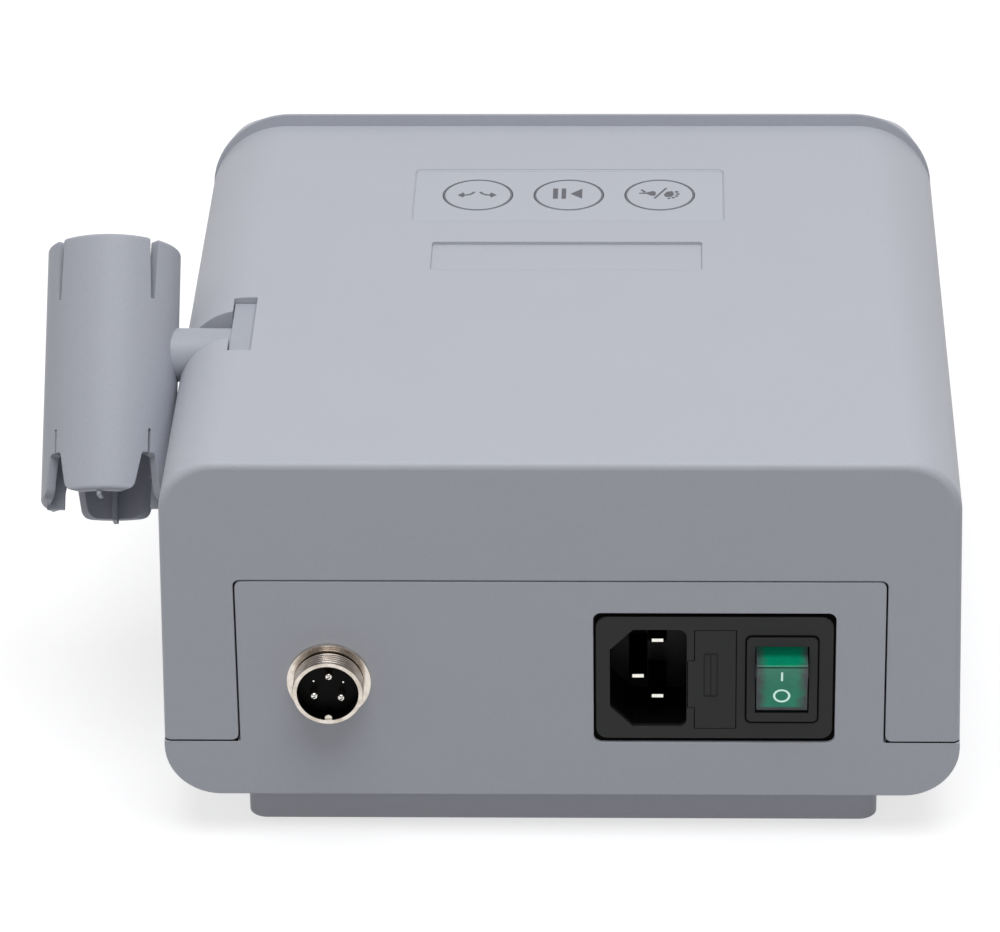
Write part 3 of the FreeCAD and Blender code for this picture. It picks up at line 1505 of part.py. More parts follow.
def inlet_outline(outline):
    half_w, half_h = size.inlet_width / 2, size.inlet_height / 2
    bevel = size.inlet_chamfer
    x, z = x_inlet, z_module
    corners = [(x - half_w, z - half_h), (x + half_w - bevel, z - half_h),
               (x + half_w, z - half_h + bevel), (x + half_w, z + half_h - bevel),
               (x + half_w - bevel, z + half_h), (x - half_w, z + half_h)]
    outline.rounded(corners, [size.inlet_corner, None, None, None, None, size.inlet_corner])


def blade_spots():
    line_x, z = x_inlet - size.blade_shift, z_module + size.blade_rise
    return [(line_x, z + size.blade_pitch / 2, size.blade_sink),
            (line_x, z - size.blade_pitch / 2, size.blade_sink),
            (line_x + size.earth_shift, z, size.earth_sink)]


def blade_end(x, y, z):
    """The bevelled tip of an inlet blade, from the plane y outwards."""
    half_w, half_t, bevel = size.blade_width / 2, size.blade_thickness / 2, size.blade_bevel
    tip = doc.addObject("Part::Wedge", "Tip")
    for prop, amount in (("Xmin", -half_w), ("Xmax", half_w), ("Ymin", 0.0), ("Ymax", size.blade_tip),
                         ("Zmin", -half_t), ("Zmax", half_t), ("X2min", bevel - half_w),
                         ("X2max", half_w - bevel), ("Z2min", bevel - half_t), ("Z2max", half_t - bevel)):
        bind(tip, prop, amount)
    set_base(tip, x, y, z)
    return tip


def make_inlet_blades():
    y_back = y_rear - size.module_sink - size.module_neck_length
    blades = []
    for x, z, sink in blade_spots():
        y_tip = y_rear - sink - size.blade_tip
        body = middle_block(x, size.blade_width, y_back, y_tip, z, size.blade_thickness)
        tab = middle_block(x, size.tab_width, y_back - size.tab_length, y_back, z, size.tab_thickness)
        blades.append(fuse(body, blade_end(x, y_tip, z), tab))
    keep("inlet_blades", group(*blades))


def drawer_tab_ends():
    high = z_drawer + size.drawer_height / 2 - size.drawer_tab_drop
    return high - size.drawer_tab_height, high


def make_fuse_drawer():
    face = block(x_drawer - size.drawer_width / 2, x_drawer + size.drawer_width / 2,
                 y_rear - size.drawer_face, y_rear,
                 z_drawer - size.drawer_height / 2, z_drawer + size.drawer_height / 2)
    low, high = drawer_tab_ends()
    edge = x_drawer + size.drawer_width / 2
    finger = block(edge, edge + size.drawer_tab_width, y_rear - size.drawer_face, y_rear,
                   low, high)
    tray = block(x_drawer - size.drawer_body_width / 2, x_drawer + size.drawer_body_width / 2,
                 y_rear - size.drawer_face - size.drawer_body_length, y_rear - size.drawer_face,
                 z_drawer - size.drawer_body_height / 2, z_drawer + size.drawer_body_height / 2)
    pockets = []
    fuses = []
    for number in range(2):
        y = y_rear - size.drawer_face - size.drawer_body_length + size.first_fuse + size.fuse_pitch * number
        wide = size.fuse_diameter / 2 + size.fuse_seat_gap
        tall = size.fuse_length / 2 + size.fuse_seat_gap
        pockets.append(block(x_drawer - wide, x_drawer + size.drawer_body_width, y - wide, y + wide,
                             z_drawer - tall, z_drawer + tall))
        cap = size.fuse_cap_length
        bottom = z_drawer - size.fuse_length / 2
        root = size.fuse_glass_root
        glass = bar("Z", x_drawer, y, bottom + cap - root, size.fuse_glass_diameter,
                    size.fuse_length - 2 * cap + 2 * root)
        ends = [bar("Z", x_drawer, y, bottom, size.fuse_diameter, cap),
                bar("Z", x_drawer, y, bottom + size.fuse_length - cap, size.fuse_diameter, cap)]
        fuses.append(fuse(glass, *ends))
    keep("fuse_drawer", cut(fuse(face, finger, tray), *pockets))
    keep("fuses", group(*fuses))


def switch_body_half():
    return (size.frame_width / 2 - size.frame_lip, size.frame_height / 2 - size.frame_lip)


def make_switch():
    frame = Maker("switch_frame")
    half_w, half_h = size.frame_width / 2, size.frame_height / 2
    rim = frame.outline("XZ_Plane", -(y_rear + size.frame_proud))
    rim.rectangle(x_switch - half_w, x_switch + half_w, z_module - half_h, z_module + half_h)
    frame.pad(rim, size.frame_proud)
    frame.fillet(size.frame_corner, lambda e: lies_along(e, "y"))
    body_w, body_h = switch_body_half()
    body = frame.outline("XZ_Plane", -y_rear)
    body.rectangle(x_switch - body_w, x_switch + body_w, z_module - body_h, z_module + body_h)
    frame.pad(body, size.frame_body_length)
    opening = frame.outline("XZ_Plane", -(y_rear + size.frame_proud))
    open_w, open_h = size.frame_opening_width / 2, size.frame_opening_height / 2
    opening.rectangle(x_switch - open_w, x_switch + open_w, z_module - open_h, z_module + open_h)
    frame.pocket(opening, size.frame_opening_depth, reverse=True)
    y_pivot = y_rear + size.frame_proud - size.rocker_pivot_sink
    holes = frame.outline("YZ_Plane", x_switch)
    holes.circle(y_pivot, z_module, size.trunnion_diameter + 2 * size.trunnion_gap)
    frame.pocket(holes, open_w + size.trunnion_length)
    holes = frame.outline("YZ_Plane", x_switch)
    holes.circle(y_pivot, z_module, size.trunnion_diameter + 2 * size.trunnion_gap)
    frame.pocket(holes, open_w + size.trunnion_length, reverse=True)
    make_rocker(y_pivot)
    y_back = y_rear - size.frame_body_length
    tabs = []
    for row in (-1, 1):
        for column in (-1, 1):
            x = x_switch + column * size.terminal_spread
            z = z_module + row * size.terminal_rise
            tabs.append(middle_block(x, size.tab_thickness, y_back - size.tab_length, y_back, z,
                                     size.tab_width))
    keep("switch_terminals", group(*tabs))


def make_rocker(y_pivot):
    rocker = Maker("rocker")
    half = size.frame_opening_width / 2 - size.rocker_gap
    tilt = size.rocker_tilt
    corners = [(size.rocker_rise, size.rocker_reach), (-size.rocker_under, size.rocker_tail),
               (-size.rocker_under, -size.rocker_tail), (size.rocker_rise, -size.rocker_reach),
               (size.rocker_rise - size.rocker_dish, 0.0)]
    outline = rocker.outline("YZ_Plane", x_switch - half)
    turned = []
    for along, up in corners:
        along, up = as_size(along), as_size(up)
        y = y_pivot + along * cosine(tilt) + up * sine(tilt)
        z = z_module + up * cosine(tilt) - along * sine(tilt)
        turned.append((y, z))
    outline.rounded(turned, [None, None, None, None, size.rocker_dish_radius])
    rocker.pad(outline, 2 * half)
    rocker.fillet(size.rocker_edge, lambda e: lies_along(e, "x") and e.CenterOfMass.y > y_pivot.value + 2
                  and abs(e.CenterOfMass.z - z_module.value) > size.rocker_tail.value)
    trunnions = rocker.outline("YZ_Plane", x_switch - half - size.trunnion_length)
    trunnions.circle(y_pivot, z_module, size.trunnion_diameter)
    rocker.pad(trunnions, 2 * (half + size.trunnion_length))


# Speed control


def make_speed_control():
    y_skirt = y_panel_front - size.knob_gap
    knob = Maker("speed_knob")
    base = knob.outline("XZ_Plane", -y_skirt)
    base.circle(size.knob_shift, z_knob, size.knob_skirt_diameter)
    knob.pad(base, size.knob_skirt)
    knob.chamfer(size.knob_chamfer, lambda e: lies_in(e, "y", y_skirt - size.knob_skirt))
    grip = knob.outline("XZ_Plane", -(y_skirt - size.knob_skirt))
    grip.circle(size.knob_shift, z_knob, size.knob_diameter)
    knob.pad(grip, size.knob_length - size.knob_skirt)
    y_top = y_skirt - size.knob_length
    knob.fillet(size.knob_edge, lambda e: lies_in(e, "y", y_top))
    flutes = knob.outline("XZ_Plane", -y_top)
    count = int(SIZES["knob_flutes"])
    circle = size.knob_diameter / 2 + size.flute_diameter / 2 - size.flute_depth
    for number in range(count):
        angle = 2 * math.pi * number / count
        flutes.circle(size.knob_shift + circle * math.sin(angle), z_knob + circle * math.cos(angle),
                      size.flute_diameter)
    knob.pocket(flutes, size.knob_length - size.knob_skirt - size.flute_stop)
    add_pointer(knob, y_top)
    bore = knob.outline("XZ_Plane", -y_skirt)
    bore.circle(size.knob_shift, z_knob, size.knob_bore + 2 * size.shaft_gap)
    knob.pocket(bore, size.knob_bore_depth, reverse=True)
    clear = knob.outline("XZ_Plane", -y_skirt)
    clear.circle(size.knob_shift, z_knob, size.pot_nut_across + 2 * size.knob_nut_gap)
    knob.pocket(clear, size.knob_skirt, reverse=True)
    x, z = size.knob_shift, z_knob
    y_pot = y_bezel_wall
    bushing_end = y_pot - size.bushing_length
    y_tip = y_skirt - size.knob_bore_depth + size.switch_gap
    keep("potentiometer_shaft", bar("Y", x, y_tip, z, size.knob_bore, y_pot + size.shaft_root - y_tip))
    case = bar("Y", x, y_pot, z, size.pot_diameter, size.pot_length)
    bushing = bar("-Y", x, y_pot, z, size.bushing_diameter, size.bushing_length)
    bore_hole = bar("Y", x, bushing_end - size.cut_spare, z, size.knob_bore + 2 * size.bushing_bore_gap,
                    size.bushing_length + size.cut_spare + size.pot_bore_spare)
    lugs = [middle_block(x + step * size.pot_lug_pitch, size.pot_lug_width, y_pot + size.pot_length,
                         y_control_board, z - size.pot_lug_drop, size.pot_lug_width) for step in (-1, 0, 1)]
    keep("potentiometer_body", cut(fuse(case, bushing, *lugs), bore_hole))
    y_nut = y_pot - size.bezel_wall
    nut = doc.addObject("Part::Prism", "Hexagon")
    turn_to(nut, "-Y")
    nut.Polygon = 6
    bind(nut, "Circumradius", size.pot_nut_across / 2 / cosine(as_size(30)))
    bind(nut, "Height", size.pot_nut_thickness)
    set_base(nut, x, y_nut, z)
    nut_hole = bar("Y", x, y_nut - size.pot_nut_thickness - size.cut_spare, z,
                   size.bushing_diameter + 2 * size.contact_gap, size.pot_nut_thickness + 2 * size.cut_spare)
    keep("potentiometer_nut", cut(nut, nut_hole))


def add_pointer(knob, y_top):
    """The groove on the knob's face that shows the speed: it starts at the left stop."""
    along, across = (-sine(size.pointer_angle), cosine(size.pointer_angle)), size.pointer_width / 2
    outer = size.knob_diameter / 2 - size.pointer_margin
    corners = []
    for reach, side in ((outer, 1), (outer, -1), (outer - size.pointer_length, -1),
                        (outer - size.pointer_length, 1)):
        corners.append((size.knob_shift + along[0] * reach + along[1] * across * side,
                        z_knob + along[1] * reach - along[0] * across * side))
    groove = knob.outline("XZ_Plane", -y_top)
    groove.polygon(*corners)
    knob.pocket(groove, size.pointer_depth)


# Boards on the floor


def board_with_holes(x, y, width, length, spots):
    plate = block(x - width / 2, x + width / 2, y - length / 2, y + length / 2, z_board, z_board_top)
    holes = [bar("Z", hx, hy, z_board - size.cut_spare, board_hole, size.board_thickness + 2 * size.cut_spare)
             for hx, hy in spots]
    return cut(plate, *holes)


def make_power_board():
    x, y = size.power_board_shift, size.power_board_back
    plate = board_with_holes(x, y, size.power_board_width, size.power_board_length, power_spots())
    keep("power_board", plate)
    low = z_board_top
    half = size.transformer_width / 2
    y_core = y - size.transformer_front
    keep("power_transformer", block(x - half, x + half, y_core, y_core + size.transformer_length,
                                    low, low + size.transformer_height))
    choke_x, choke_y = x - size.choke_left, y + size.choke_back
    keep("input_choke", cut(bar("Z", choke_x, choke_y, low, size.choke_diameter, size.choke_height),
                            bar("Z", choke_x, choke_y, low - size.cut_spare, size.choke_bore,
                                size.choke_height + 2 * size.cut_spare)))
    keep("bulk_capacitor", bar("Z", x - size.bulk_left, y - size.bulk_front, low,
                               size.bulk_diameter, size.bulk_height))
    keep("filter_capacitors", group(*[bar("Z", x + size.filter_right, y + step * size.filter_pitch, low,
                                          size.filter_diameter, size.filter_height) for step in (-1, 0, 1)]))
    header_x = (blade_spots()[0][0] + blade_spots()[2][0]) / 2
    header_y = y + size.mains_header_back
    half_w, half_l = size.mains_header_width / 2, size.mains_header_length / 2
    keep("mains_header", block(header_x - half_w, header_x + half_w, header_y - half_l, header_y + half_l,
                               low, low + size.mains_header_height))


def make_driver_board():
    x, y = size.driver_board_shift, size.driver_board_back
    plate = board_with_holes(x, y, size.driver_board_width, size.driver_board_length, driver_spots())
    keep("driver_board", plate)
    top = z_board_top
    low, high = y - size.sink_length / 2, y + size.sink_length / 2
    parts = [block(x, x + size.sink_thickness, low, high, top, top + size.sink_height)]
    count = int(SIZES["sink_fins"])
    step = size.sink_height / count
    for number in range(count):
        z = top + step * number + step / 2
        parts.append(block(x + size.sink_thickness / 2, x + size.sink_thickness + size.sink_fin_height,
                           low, high, z, z + size.sink_fin_thickness))
    keep("heat_sink", fuse(*parts))
    half = size.transistor_width / 2
    transistors = []
    for number in (-1, 0, 1):
        middle = y + number * size.transistor_pitch
        transistors.append(block(x - size.transistor_thickness, x, middle - half, middle + half,
                                 top, top + size.transistor_height))
    keep("drive_transistors", group(*transistors))


def header_spots():
    """The connectors that stand on the two floor boards."""
    y_power, y_driver, x_driver = size.power_board_back, size.driver_board_back, size.driver_board_shift
    return {
        "dc_out": (size.power_board_shift + size.power_board_width / 2 - size.dc_header_inset,
                   y_power - size.dc_header_front),
        "dc_in": (x_driver - size.dc_entry_left, y_driver - size.dc_entry_front),
        "motor": (x_driver - size.motor_header_left, y_driver - size.motor_header_front),
        "panel": (x_driver + size.panel_header_right, y_driver - size.panel_header_front),
        "pedal": (size.pedal_shift, y_driver + size.pedal_header_back),
    }


def make_headers():
    half_w, half_d = size.header_width / 2, size.header_depth / 2
    blocks = []
    for x, y in header_spots().values():
        blocks.append(block(x - half_w, x + half_w, y - half_d, y + half_d, z_board_top,
                            z_board_top + size.header_height))
    y = y_keypad - size.keypad_header_front
    blocks.append(block(-half_w, half_w, y - half_d, y + half_d, z_keypad_board - size.header_height,
                        z_keypad_board))
    y = y_control_board + size.board_thickness
    x_panel = header_spots()["panel"][0]
    for x, rise in ((as_size(0.0), size.keypad_plug_rise), (x_panel, size.panel_socket_rise)):
        z = z_body + rise
        blocks.append(block(x - half_w, x + half_w, y, y + size.header_height, z - half_d, z + half_d))
    keep("board_headers", group(*blocks))


# Wiring


def point(x, y, z):
    return FreeCAD.Vector(as_size(x).value, as_size(y).value, as_size(z).value)


def lead(points, diameter):
    """A round lead along straight runs that are joined by tangent arcs."""
    edges = []
    start = points[0]
    radii = []
    for before, corner, after in zip(points, points[1:], points[2:]):
        back, ahead = before - corner, after - corner
        reach = 0.45 * min(back.Length, ahead.Length)
        back.normalize()
        ahead.normalize()
        half_turn = (math.pi - back.getAngle(ahead)) / 2
        radius = reach / math.tan(half_turn)
        radii.append(radius)
        first, last = corner + back * reach, corner + ahead * reach
        to_middle = (back + ahead).normalize()
        middle = corner + to_middle * (radius / math.cos(half_turn) - radius)
        edges.append(Part.LineSegment(start, first).toShape())
        edges.append(Part.Arc(first, middle, last).toShape())
        start = last
    edges.append(Part.LineSegment(start, points[-1]).toShape())
    path = Part.Wire(edges)
    ring = Part.Wire(Part.makeCircle(diameter / 2, points[0], points[1] - points[0]))
    tube = path.makePipeShell([ring], True, False)
    share = tube.Volume / (path.Length * math.pi * diameter ** 2 / 4)
    print("lead radii", [round(radius, 1) for radius in radii], "diameter", diameter, "fill", round(share, 4))
    return tube


def boot(spot, sign):
    """The sleeve that gathers a socket's leads: it starts at the ends of the pins."""
    first, last = size.boot_diameter.value / 2, size.boot_end_diameter.value / 2
    return Part.makeCone(first, last, size.boot_length.value, spot, FreeCAD.Vector(0, -sign, 0))


def keep_leads(label, shapes):
    feature = doc.addObject("Part::Feature", "Leads")
    feature.Shape = Part.Compound(shapes)
    keep(label, feature)


def socket_end(y, sign):
    """Where the solder cups of a round socket end."""
    return y - sign * (size.rear_thread_length + size.solder_cup_length)


def make_leads():
    top = z_board_top + size.header_height
    spots = header_spots()
    y_tab = y_rear - size.module_sink - size.module_neck_length - size.tab_length
    mains_top = z_board_top + size.mains_header_height
    header_y = size.power_board_back + size.mains_header_back
    step = size.mains_header_length / 2 - size.lead_pitch
    mains = []
    for (x, z, _), y in zip(blade_spots(), (header_y - step, header_y + step, header_y)):
        route = [point(x, y_tab, z), point(x, y, z), point(x, y, mains_top)]
        mains.append(lead(route, size.mains_lead_diameter.value))
    keep_leads("mains_harness", mains)
    (x0, y0), x1 = spots["dc_out"], spots["dc_in"][0]
    high = top + size.dc_loop_height
    loops = []
    for sign in (-1, 1):
        y = y0 + sign * size.lead_pitch / 2
        route = [point(x0, y, top), point(x0, y, high), point(x1, y, high), point(x1, y, top)]
        loops.append(lead(route, size.dc_lead_diameter.value))
    keep_leads("dc_harness", loops)
    x, y = spots["panel"]
    z = z_body + size.panel_socket_rise
    y_plug = y_control_board + size.board_thickness + size.header_height
    rows = [size.lead_pitch * number for number in (-1, 0, 1)]
    routes = [[point(x + row, y, top), point(x + row, y, z), point(x + row, y_plug, z)] for row in rows]
    keep_leads("panel_harness", [lead(route, size.signal_lead_diameter.value) for route in routes])
    y, z = y_keypad - size.keypad_header_front, z_body + size.keypad_plug_rise
    low = z_keypad_board - size.header_height
    routes = [[point(row, y, low), point(row, y, z), point(row, y_plug, z)] for row in rows]
    keep_leads("keypad_harness", [lead(route, size.signal_lead_diameter.value) for route in routes])
    make_cables(spots, top)


def make_cables(spots, top):
    x, z = size.pedal_shift, z_pedal
    y_end = socket_end(y_rear, 1)
    y_start = y_end - size.boot_length
    y_header = spots["pedal"][1]
    route = [point(x, y_start, z), point(x, y_start - 18.8, z + 1.8), point(x, y_header, z),
             point(x, y_header, top)]
    cable = lead(route, size.cable_diameter.value)
    keep_leads("pedal_harness", [cable.fuse(boot(point(x, y_end, z), 1))])
    x, z = size.handpiece_shift, z_handpiece
    y_end = socket_end(y_panel_back, -1)
    y_start = y_end + size.boot_length
    x_header, y_header = spots["motor"]
    route = [point(x, y_start, z), point(x, y_start + 14, z + 0.5), point(x + 14, y_start + 23, z + 7.5),
             point(x + 38, y_start + 24, z + 12.5), point(x_header - 14, y_header - 1.5, z + 12.5),
             point(x_header, y_header, top + 14.4), point(x_header, y_header, top)]
    cable = lead(route, size.cable_diameter.value)
    keep_leads("motor_harness", [cable.fuse(boot(point(x, y_end, z), -1))])


def make_all():
    fill_sheet()
    make_top_cover()
    make_base_shell()
    make_rubber_feet()
    make_front_bezel()
    make_front_panel()
    make_display_window()
    make_control_board()
    make_keypad()
    make_cradle()
    make_round_socket("pedal_socket", size.pedal_shift, z_pedal, y_rear, 1, int(SIZES["pedal_pins"]))
    socket_nut("pedal_socket_nut", size.pedal_shift, y_inner_rear, z_pedal, 1)
    make_round_socket("handpiece_socket", size.handpiece_shift, z_handpiece, y_panel_back, -1,
                      int(SIZES["handpiece_pins"]))
    socket_nut("handpiece_socket_nut", size.handpiece_shift, y_bezel_wall, z_handpiece, -1)
    make_mains_module()
    make_speed_control()
    make_power_board()
    make_driver_board()
    make_headers()
    make_leads()
    make_screws()
    doc.recompute()


def check_all():
    faults = []
    for thing in doc.Objects:
        if "Invalid" in thing.State or "Error" in thing.State:
            faults.append(thing.Name + " " + thing.Label + " is in error")
    for thing in nodes:
        if thing.Shape.isNull() or not thing.Shape.isValid() or not thing.Shape.Solids:
            faults.append(thing.Label + " has no valid solid")
    if faults:
        raise RuntimeError("; ".join(faults))


def write_all():
    os.makedirs("parts", exist_ok=True)
    for thing in nodes:
        thing.Shape.exportStep("parts/" + thing.Label + ".step")
        print(thing.Label, len(thing.Shape.Solids), "solids", round(thing.Shape.Volume), "mm3")


make_all()
check_all()
write_all()
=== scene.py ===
import json
import math

import bmesh
import bpy
from mathutils import Matrix, Vector
from mathutils.bvhtree import BVHTree


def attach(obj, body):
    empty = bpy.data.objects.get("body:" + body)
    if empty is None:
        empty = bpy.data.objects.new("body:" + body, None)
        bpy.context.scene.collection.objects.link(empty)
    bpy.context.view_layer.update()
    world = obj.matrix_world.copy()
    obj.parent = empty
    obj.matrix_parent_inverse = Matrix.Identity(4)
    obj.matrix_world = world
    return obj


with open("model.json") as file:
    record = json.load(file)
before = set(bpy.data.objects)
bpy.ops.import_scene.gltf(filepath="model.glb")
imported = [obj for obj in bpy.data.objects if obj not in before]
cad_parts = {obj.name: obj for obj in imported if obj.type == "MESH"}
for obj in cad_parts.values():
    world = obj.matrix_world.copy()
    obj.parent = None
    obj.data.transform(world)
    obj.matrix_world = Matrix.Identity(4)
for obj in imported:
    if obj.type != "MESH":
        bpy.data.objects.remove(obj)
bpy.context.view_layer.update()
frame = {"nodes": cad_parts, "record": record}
mm = 0.001
print("frame loaded:", len(frame["nodes"]), "nodes")

# Places that several pieces share, in mm. A socket has its x, its z and the distance of the face it stands on
backFace = 83.75
switchX = -47.8
socketPlaces = {"pedal": (50.2, 40.2, backFace), "handpiece": (-54.0, 32.5, 89.05)}


# Camera, as the photograph was taken: from behind, a little above
cameraSetup = {
    "place": (-0.022901, 1.136603, 0.669037),
    "heading": 181.925,
    "tilt": 61.329,
    "roll": -0.8365,
    "lens": 203.961,
    "sensor": 36.0,
    "clip": (0.01, 20.0),
}


def addCamera():
    data = bpy.data.cameras.new("camera")
    data.sensor_width = cameraSetup["sensor"]
    data.lens = cameraSetup["lens"]
    data.clip_start, data.clip_end = cameraSetup["clip"]
    camera = bpy.data.objects.new("camera", data)
    turn = Matrix.Identity(4)
    for angle, axis in (("heading", "Z"), ("tilt", "X"), ("roll", "Z")):
        turn = turn @ Matrix.Rotation(math.radians(cameraSetup[angle]), 4, axis)
    camera.matrix_world = Matrix.Translation(cameraSetup["place"]) @ turn
    bpy.context.scene.collection.objects.link(camera)
    bpy.context.scene.camera = camera


addCamera()
print("camera placed")


# Shader node groups that several finishes share
def newGroup(name, inputs, outputs):
    group = bpy.data.node_groups.new(name, "ShaderNodeTree")
    for label, value in inputs.items():
        kind = "NodeSocketColor" if isinstance(value, tuple) else "NodeSocketFloat"
        socket = group.interface.new_socket(name=label, in_out="INPUT", socket_type=kind)
        socket.default_value = value
    for label, kind in outputs.items():
        group.interface.new_socket(name=label, in_out="OUTPUT", socket_type="NodeSocket" + kind)
    return group, group.nodes.new("NodeGroupInput"), group.nodes.new("NodeGroupOutput")


def putOut(group, out, **values):
    for label, value in values.items():
        group.links.new(value, out.inputs[label])


# kind without its ShaderNode; an input's value is a number, a colour or a socket to link from
def addNode(tree, kind, settings=None, **inputs):
    node = tree.nodes.new("ShaderNode" + kind)
    for prop, value in (settings or {}).items():
        setattr(node, prop, value)
    for label, value in inputs.items():
        numbered = label[0] == "i" and label[1:].isdigit()
        socket = node.inputs[int(label[1:]) if numbered else label]
        if isinstance(value, bpy.types.NodeSocket):
            tree.links.new(value, socket)
        else:
            socket.default_value = value
    return node


def maths(tree, operation, first, second=0.0, third=0.0, clamp=False):
    settings = {"operation": operation, "use_clamp": clamp}
    return addNode(tree, "Math", settings, i0=first, i1=second, i2=third).outputs[0]


def mixColour(tree, factor, first, second):
    return addNode(tree, "Mix", {"data_type": "RGBA"}, i0=factor, i6=first, i7=second).outputs[2]


def scaleColour(tree, colour, level):
    return addNode(tree, "VectorMath", {"operation": "SCALE"}, i0=colour, Scale=level).outputs[0]


def remap(tree, value, low, high, start=0.0, end=1.0):
    return addNode(tree, "MapRange", None, i0=value, i1=low, i2=high, i3=start, i4=end).outputs[0]


def noise(tree, coordinates, scale, detail=2.0, rough=0.5):
    node = addNode(tree, "TexNoise", None, Vector=coordinates, Scale=scale, Detail=detail, Roughness=rough)
    return node.outputs[0]


# A noise about nought instead of about a half
def centred(tree, value):
    return maths(tree, "SUBTRACT", value, 0.5)


def objectPlace(tree):
    return addNode(tree, "TexCoord").outputs["Object"]


def objectAxes(tree):
    return addNode(tree, "SeparateXYZ", None, Vector=objectPlace(tree)).outputs


surfaceOutputs = {"Color": "Color", "Roughness": "Float", "Height": "Float"}

# Fine moulded texture: speckle in the colour, clouds in the gloss, a height for the bump
grainInputs = {
    "Tone": (0.5, 0.5, 0.5, 1), "Speckle": 0.1, "Cloud": 0.05, "Grain": 2600.0, "Gloss": 0.4,
    "Gloss Cloud": 0.06,
}
# coarse and clouds are shares of Grain
grainLook = {"coarse": 0.21, "clouds": 0.018, "detail": 3.0, "rough": 0.6, "coarseHeight": 0.5}


def makeGrainGroup():
    look = grainLook
    group, given, out = newGroup("mouldedGrain", grainInputs, surfaceOutputs)
    place, values = objectPlace(group), given.outputs
    fine = noise(group, place, values["Grain"], look["detail"], look["rough"])
    coarse = noise(group, place, maths(group, "MULTIPLY", values["Grain"], look["coarse"]))
    clouds = noise(group, place, maths(group, "MULTIPLY", values["Grain"], look["clouds"]), look["detail"])
    speckle = maths(group, "MULTIPLY_ADD", centred(group, fine), values["Speckle"], 1.0)
    drift = maths(group, "ADD", centred(group, clouds), centred(group, coarse))
    level = maths(group, "MULTIPLY_ADD", drift, values["Cloud"], speckle)
    gloss = maths(group, "MULTIPLY_ADD", centred(group, coarse), values["Gloss Cloud"], values["Gloss"])
    height = maths(group, "MULTIPLY_ADD", coarse, look["coarseHeight"], fine)
    putOut(group, out, Color=scaleColour(group, values["Tone"], level), Roughness=gloss, Height=height)
    return group


# Edges rounded in the shading, and a mask of them for a painted highlight along edges
edgeInputs = {"Radius": 0.0003, "Gain": 3.0}
edgeSamples = 4


def makeEdgeGroup():
    group, given, out = newGroup("softEdge", edgeInputs, {"Normal": "Vector", "Edge": "Float"})
    rounded = addNode(group, "Bevel", {"samples": edgeSamples}, Radius=given.outputs["Radius"]).outputs[0]
    plain = addNode(group, "NewGeometry").outputs["Normal"]
    agree = addNode(group, "VectorMath", {"operation": "DOT_PRODUCT"}, i0=rounded, i1=plain).outputs["Value"]
    bend = maths(group, "SUBTRACT", 1.0, agree)
    edge = maths(group, "MULTIPLY", bend, given.outputs["Gain"], clamp=True)
    putOut(group, out, Normal=rounded, Edge=edge)
    return group


# Plated or drawn metal: fine tool marks across one direction, and a slow tarnish
metalInputs = {
    "Tone": (0.7, 0.7, 0.7, 1), "Tarnish": (0.4, 0.38, 0.33, 1), "Tarnish Share": 0.3, "Marks": 9000.0,
    "Gloss": 0.2, "Gloss Spread": 0.15,
}
metalLook = {
    "stretch": (0.06, 1.0, 0.06), "marksRough": 0.7, "stain": 420.0, "stainDetail": 4.0, "stainRough": 0.65,
    "stainStart": 0.42, "stainFull": 0.68, "dulling": 0.2,
}


def makeMetalGroup():
    look = metalLook
    group, given, out = newGroup("toolMarks", metalInputs, surfaceOutputs)
    place, values = objectPlace(group), given.outputs
    along = addNode(group, "Mapping", None, Vector=place, Scale=look["stretch"]).outputs[0]
    marks = noise(group, along, values["Marks"], rough=look["marksRough"])
    stain = noise(group, place, look["stain"], look["stainDetail"], look["stainRough"])
    stained = remap(group, stain, look["stainStart"], look["stainFull"])
    amount = maths(group, "MULTIPLY", stained, values["Tarnish Share"], clamp=True)
    shade = mixColour(group, amount, values["Tone"], values["Tarnish"])
    level = maths(group, "MULTIPLY_ADD", centred(group, marks), values["Gloss Spread"], values["Gloss"])
    gloss = maths(group, "MULTIPLY_ADD", amount, look["dulling"], level)
    putOut(group, out, Color=shade, Roughness=gloss, Height=marks)
    return group


# Painted shade deep in a hollow behind the back face, by depth alone: a level of 1 at its mouth, Dark at its
# bottom
hollowShadeInputs = {"Mouth": 0.0835, "Bottom": 0.0800, "Dark": 0.1}


def makeHollowShadeGroup():
    group, given, out = newGroup("hollowPaintedShade", hollowShadeInputs, {"Level": "Float"})
    bottom, mouth, dark = (given.outputs[name] for name in ("Bottom", "Mouth", "Dark"))
    putOut(group, out, Level=remap(group, objectAxes(group)[1], bottom, mouth, dark))
    return group


grainGroup = makeGrainGroup()
edgeGroup = makeEdgeGroup()
metalGroup = makeMetalGroup()
hollowShadeGroup = makeHollowShadeGroup()
print("node groups made")


# Finishes
def newMaterial(name):
    material = bpy.data.materials.new(name)
    material.use_nodes = True
    tree = material.node_tree
    return material, tree, tree.nodes["Principled BSDF"]


def placeGroup(tree, group, values):
    node = tree.nodes.new("ShaderNodeGroup")
    node.node_tree = group
    for label, value in values.items():
        node.inputs[label].default_value = value
    return node


reliefDepths = {"plastic": 0.03, "metal": 0.02, "lens": 0.02, "clear": 0.01}  # of the bump, in mm
coatGloss = 0.12


def finishSurface(tree, shader, surface, edge, bump, kind):
    relief = addNode(tree, "Bump", None, Strength=bump, Distance=reliefDepths[kind] * mm,
                     Height=surface.outputs["Height"], Normal=edge.outputs["Normal"])
    tree.links.new(surface.outputs["Roughness"], shader.inputs["Roughness"])
    tree.links.new(relief.outputs[0], shader.inputs["Normal"])
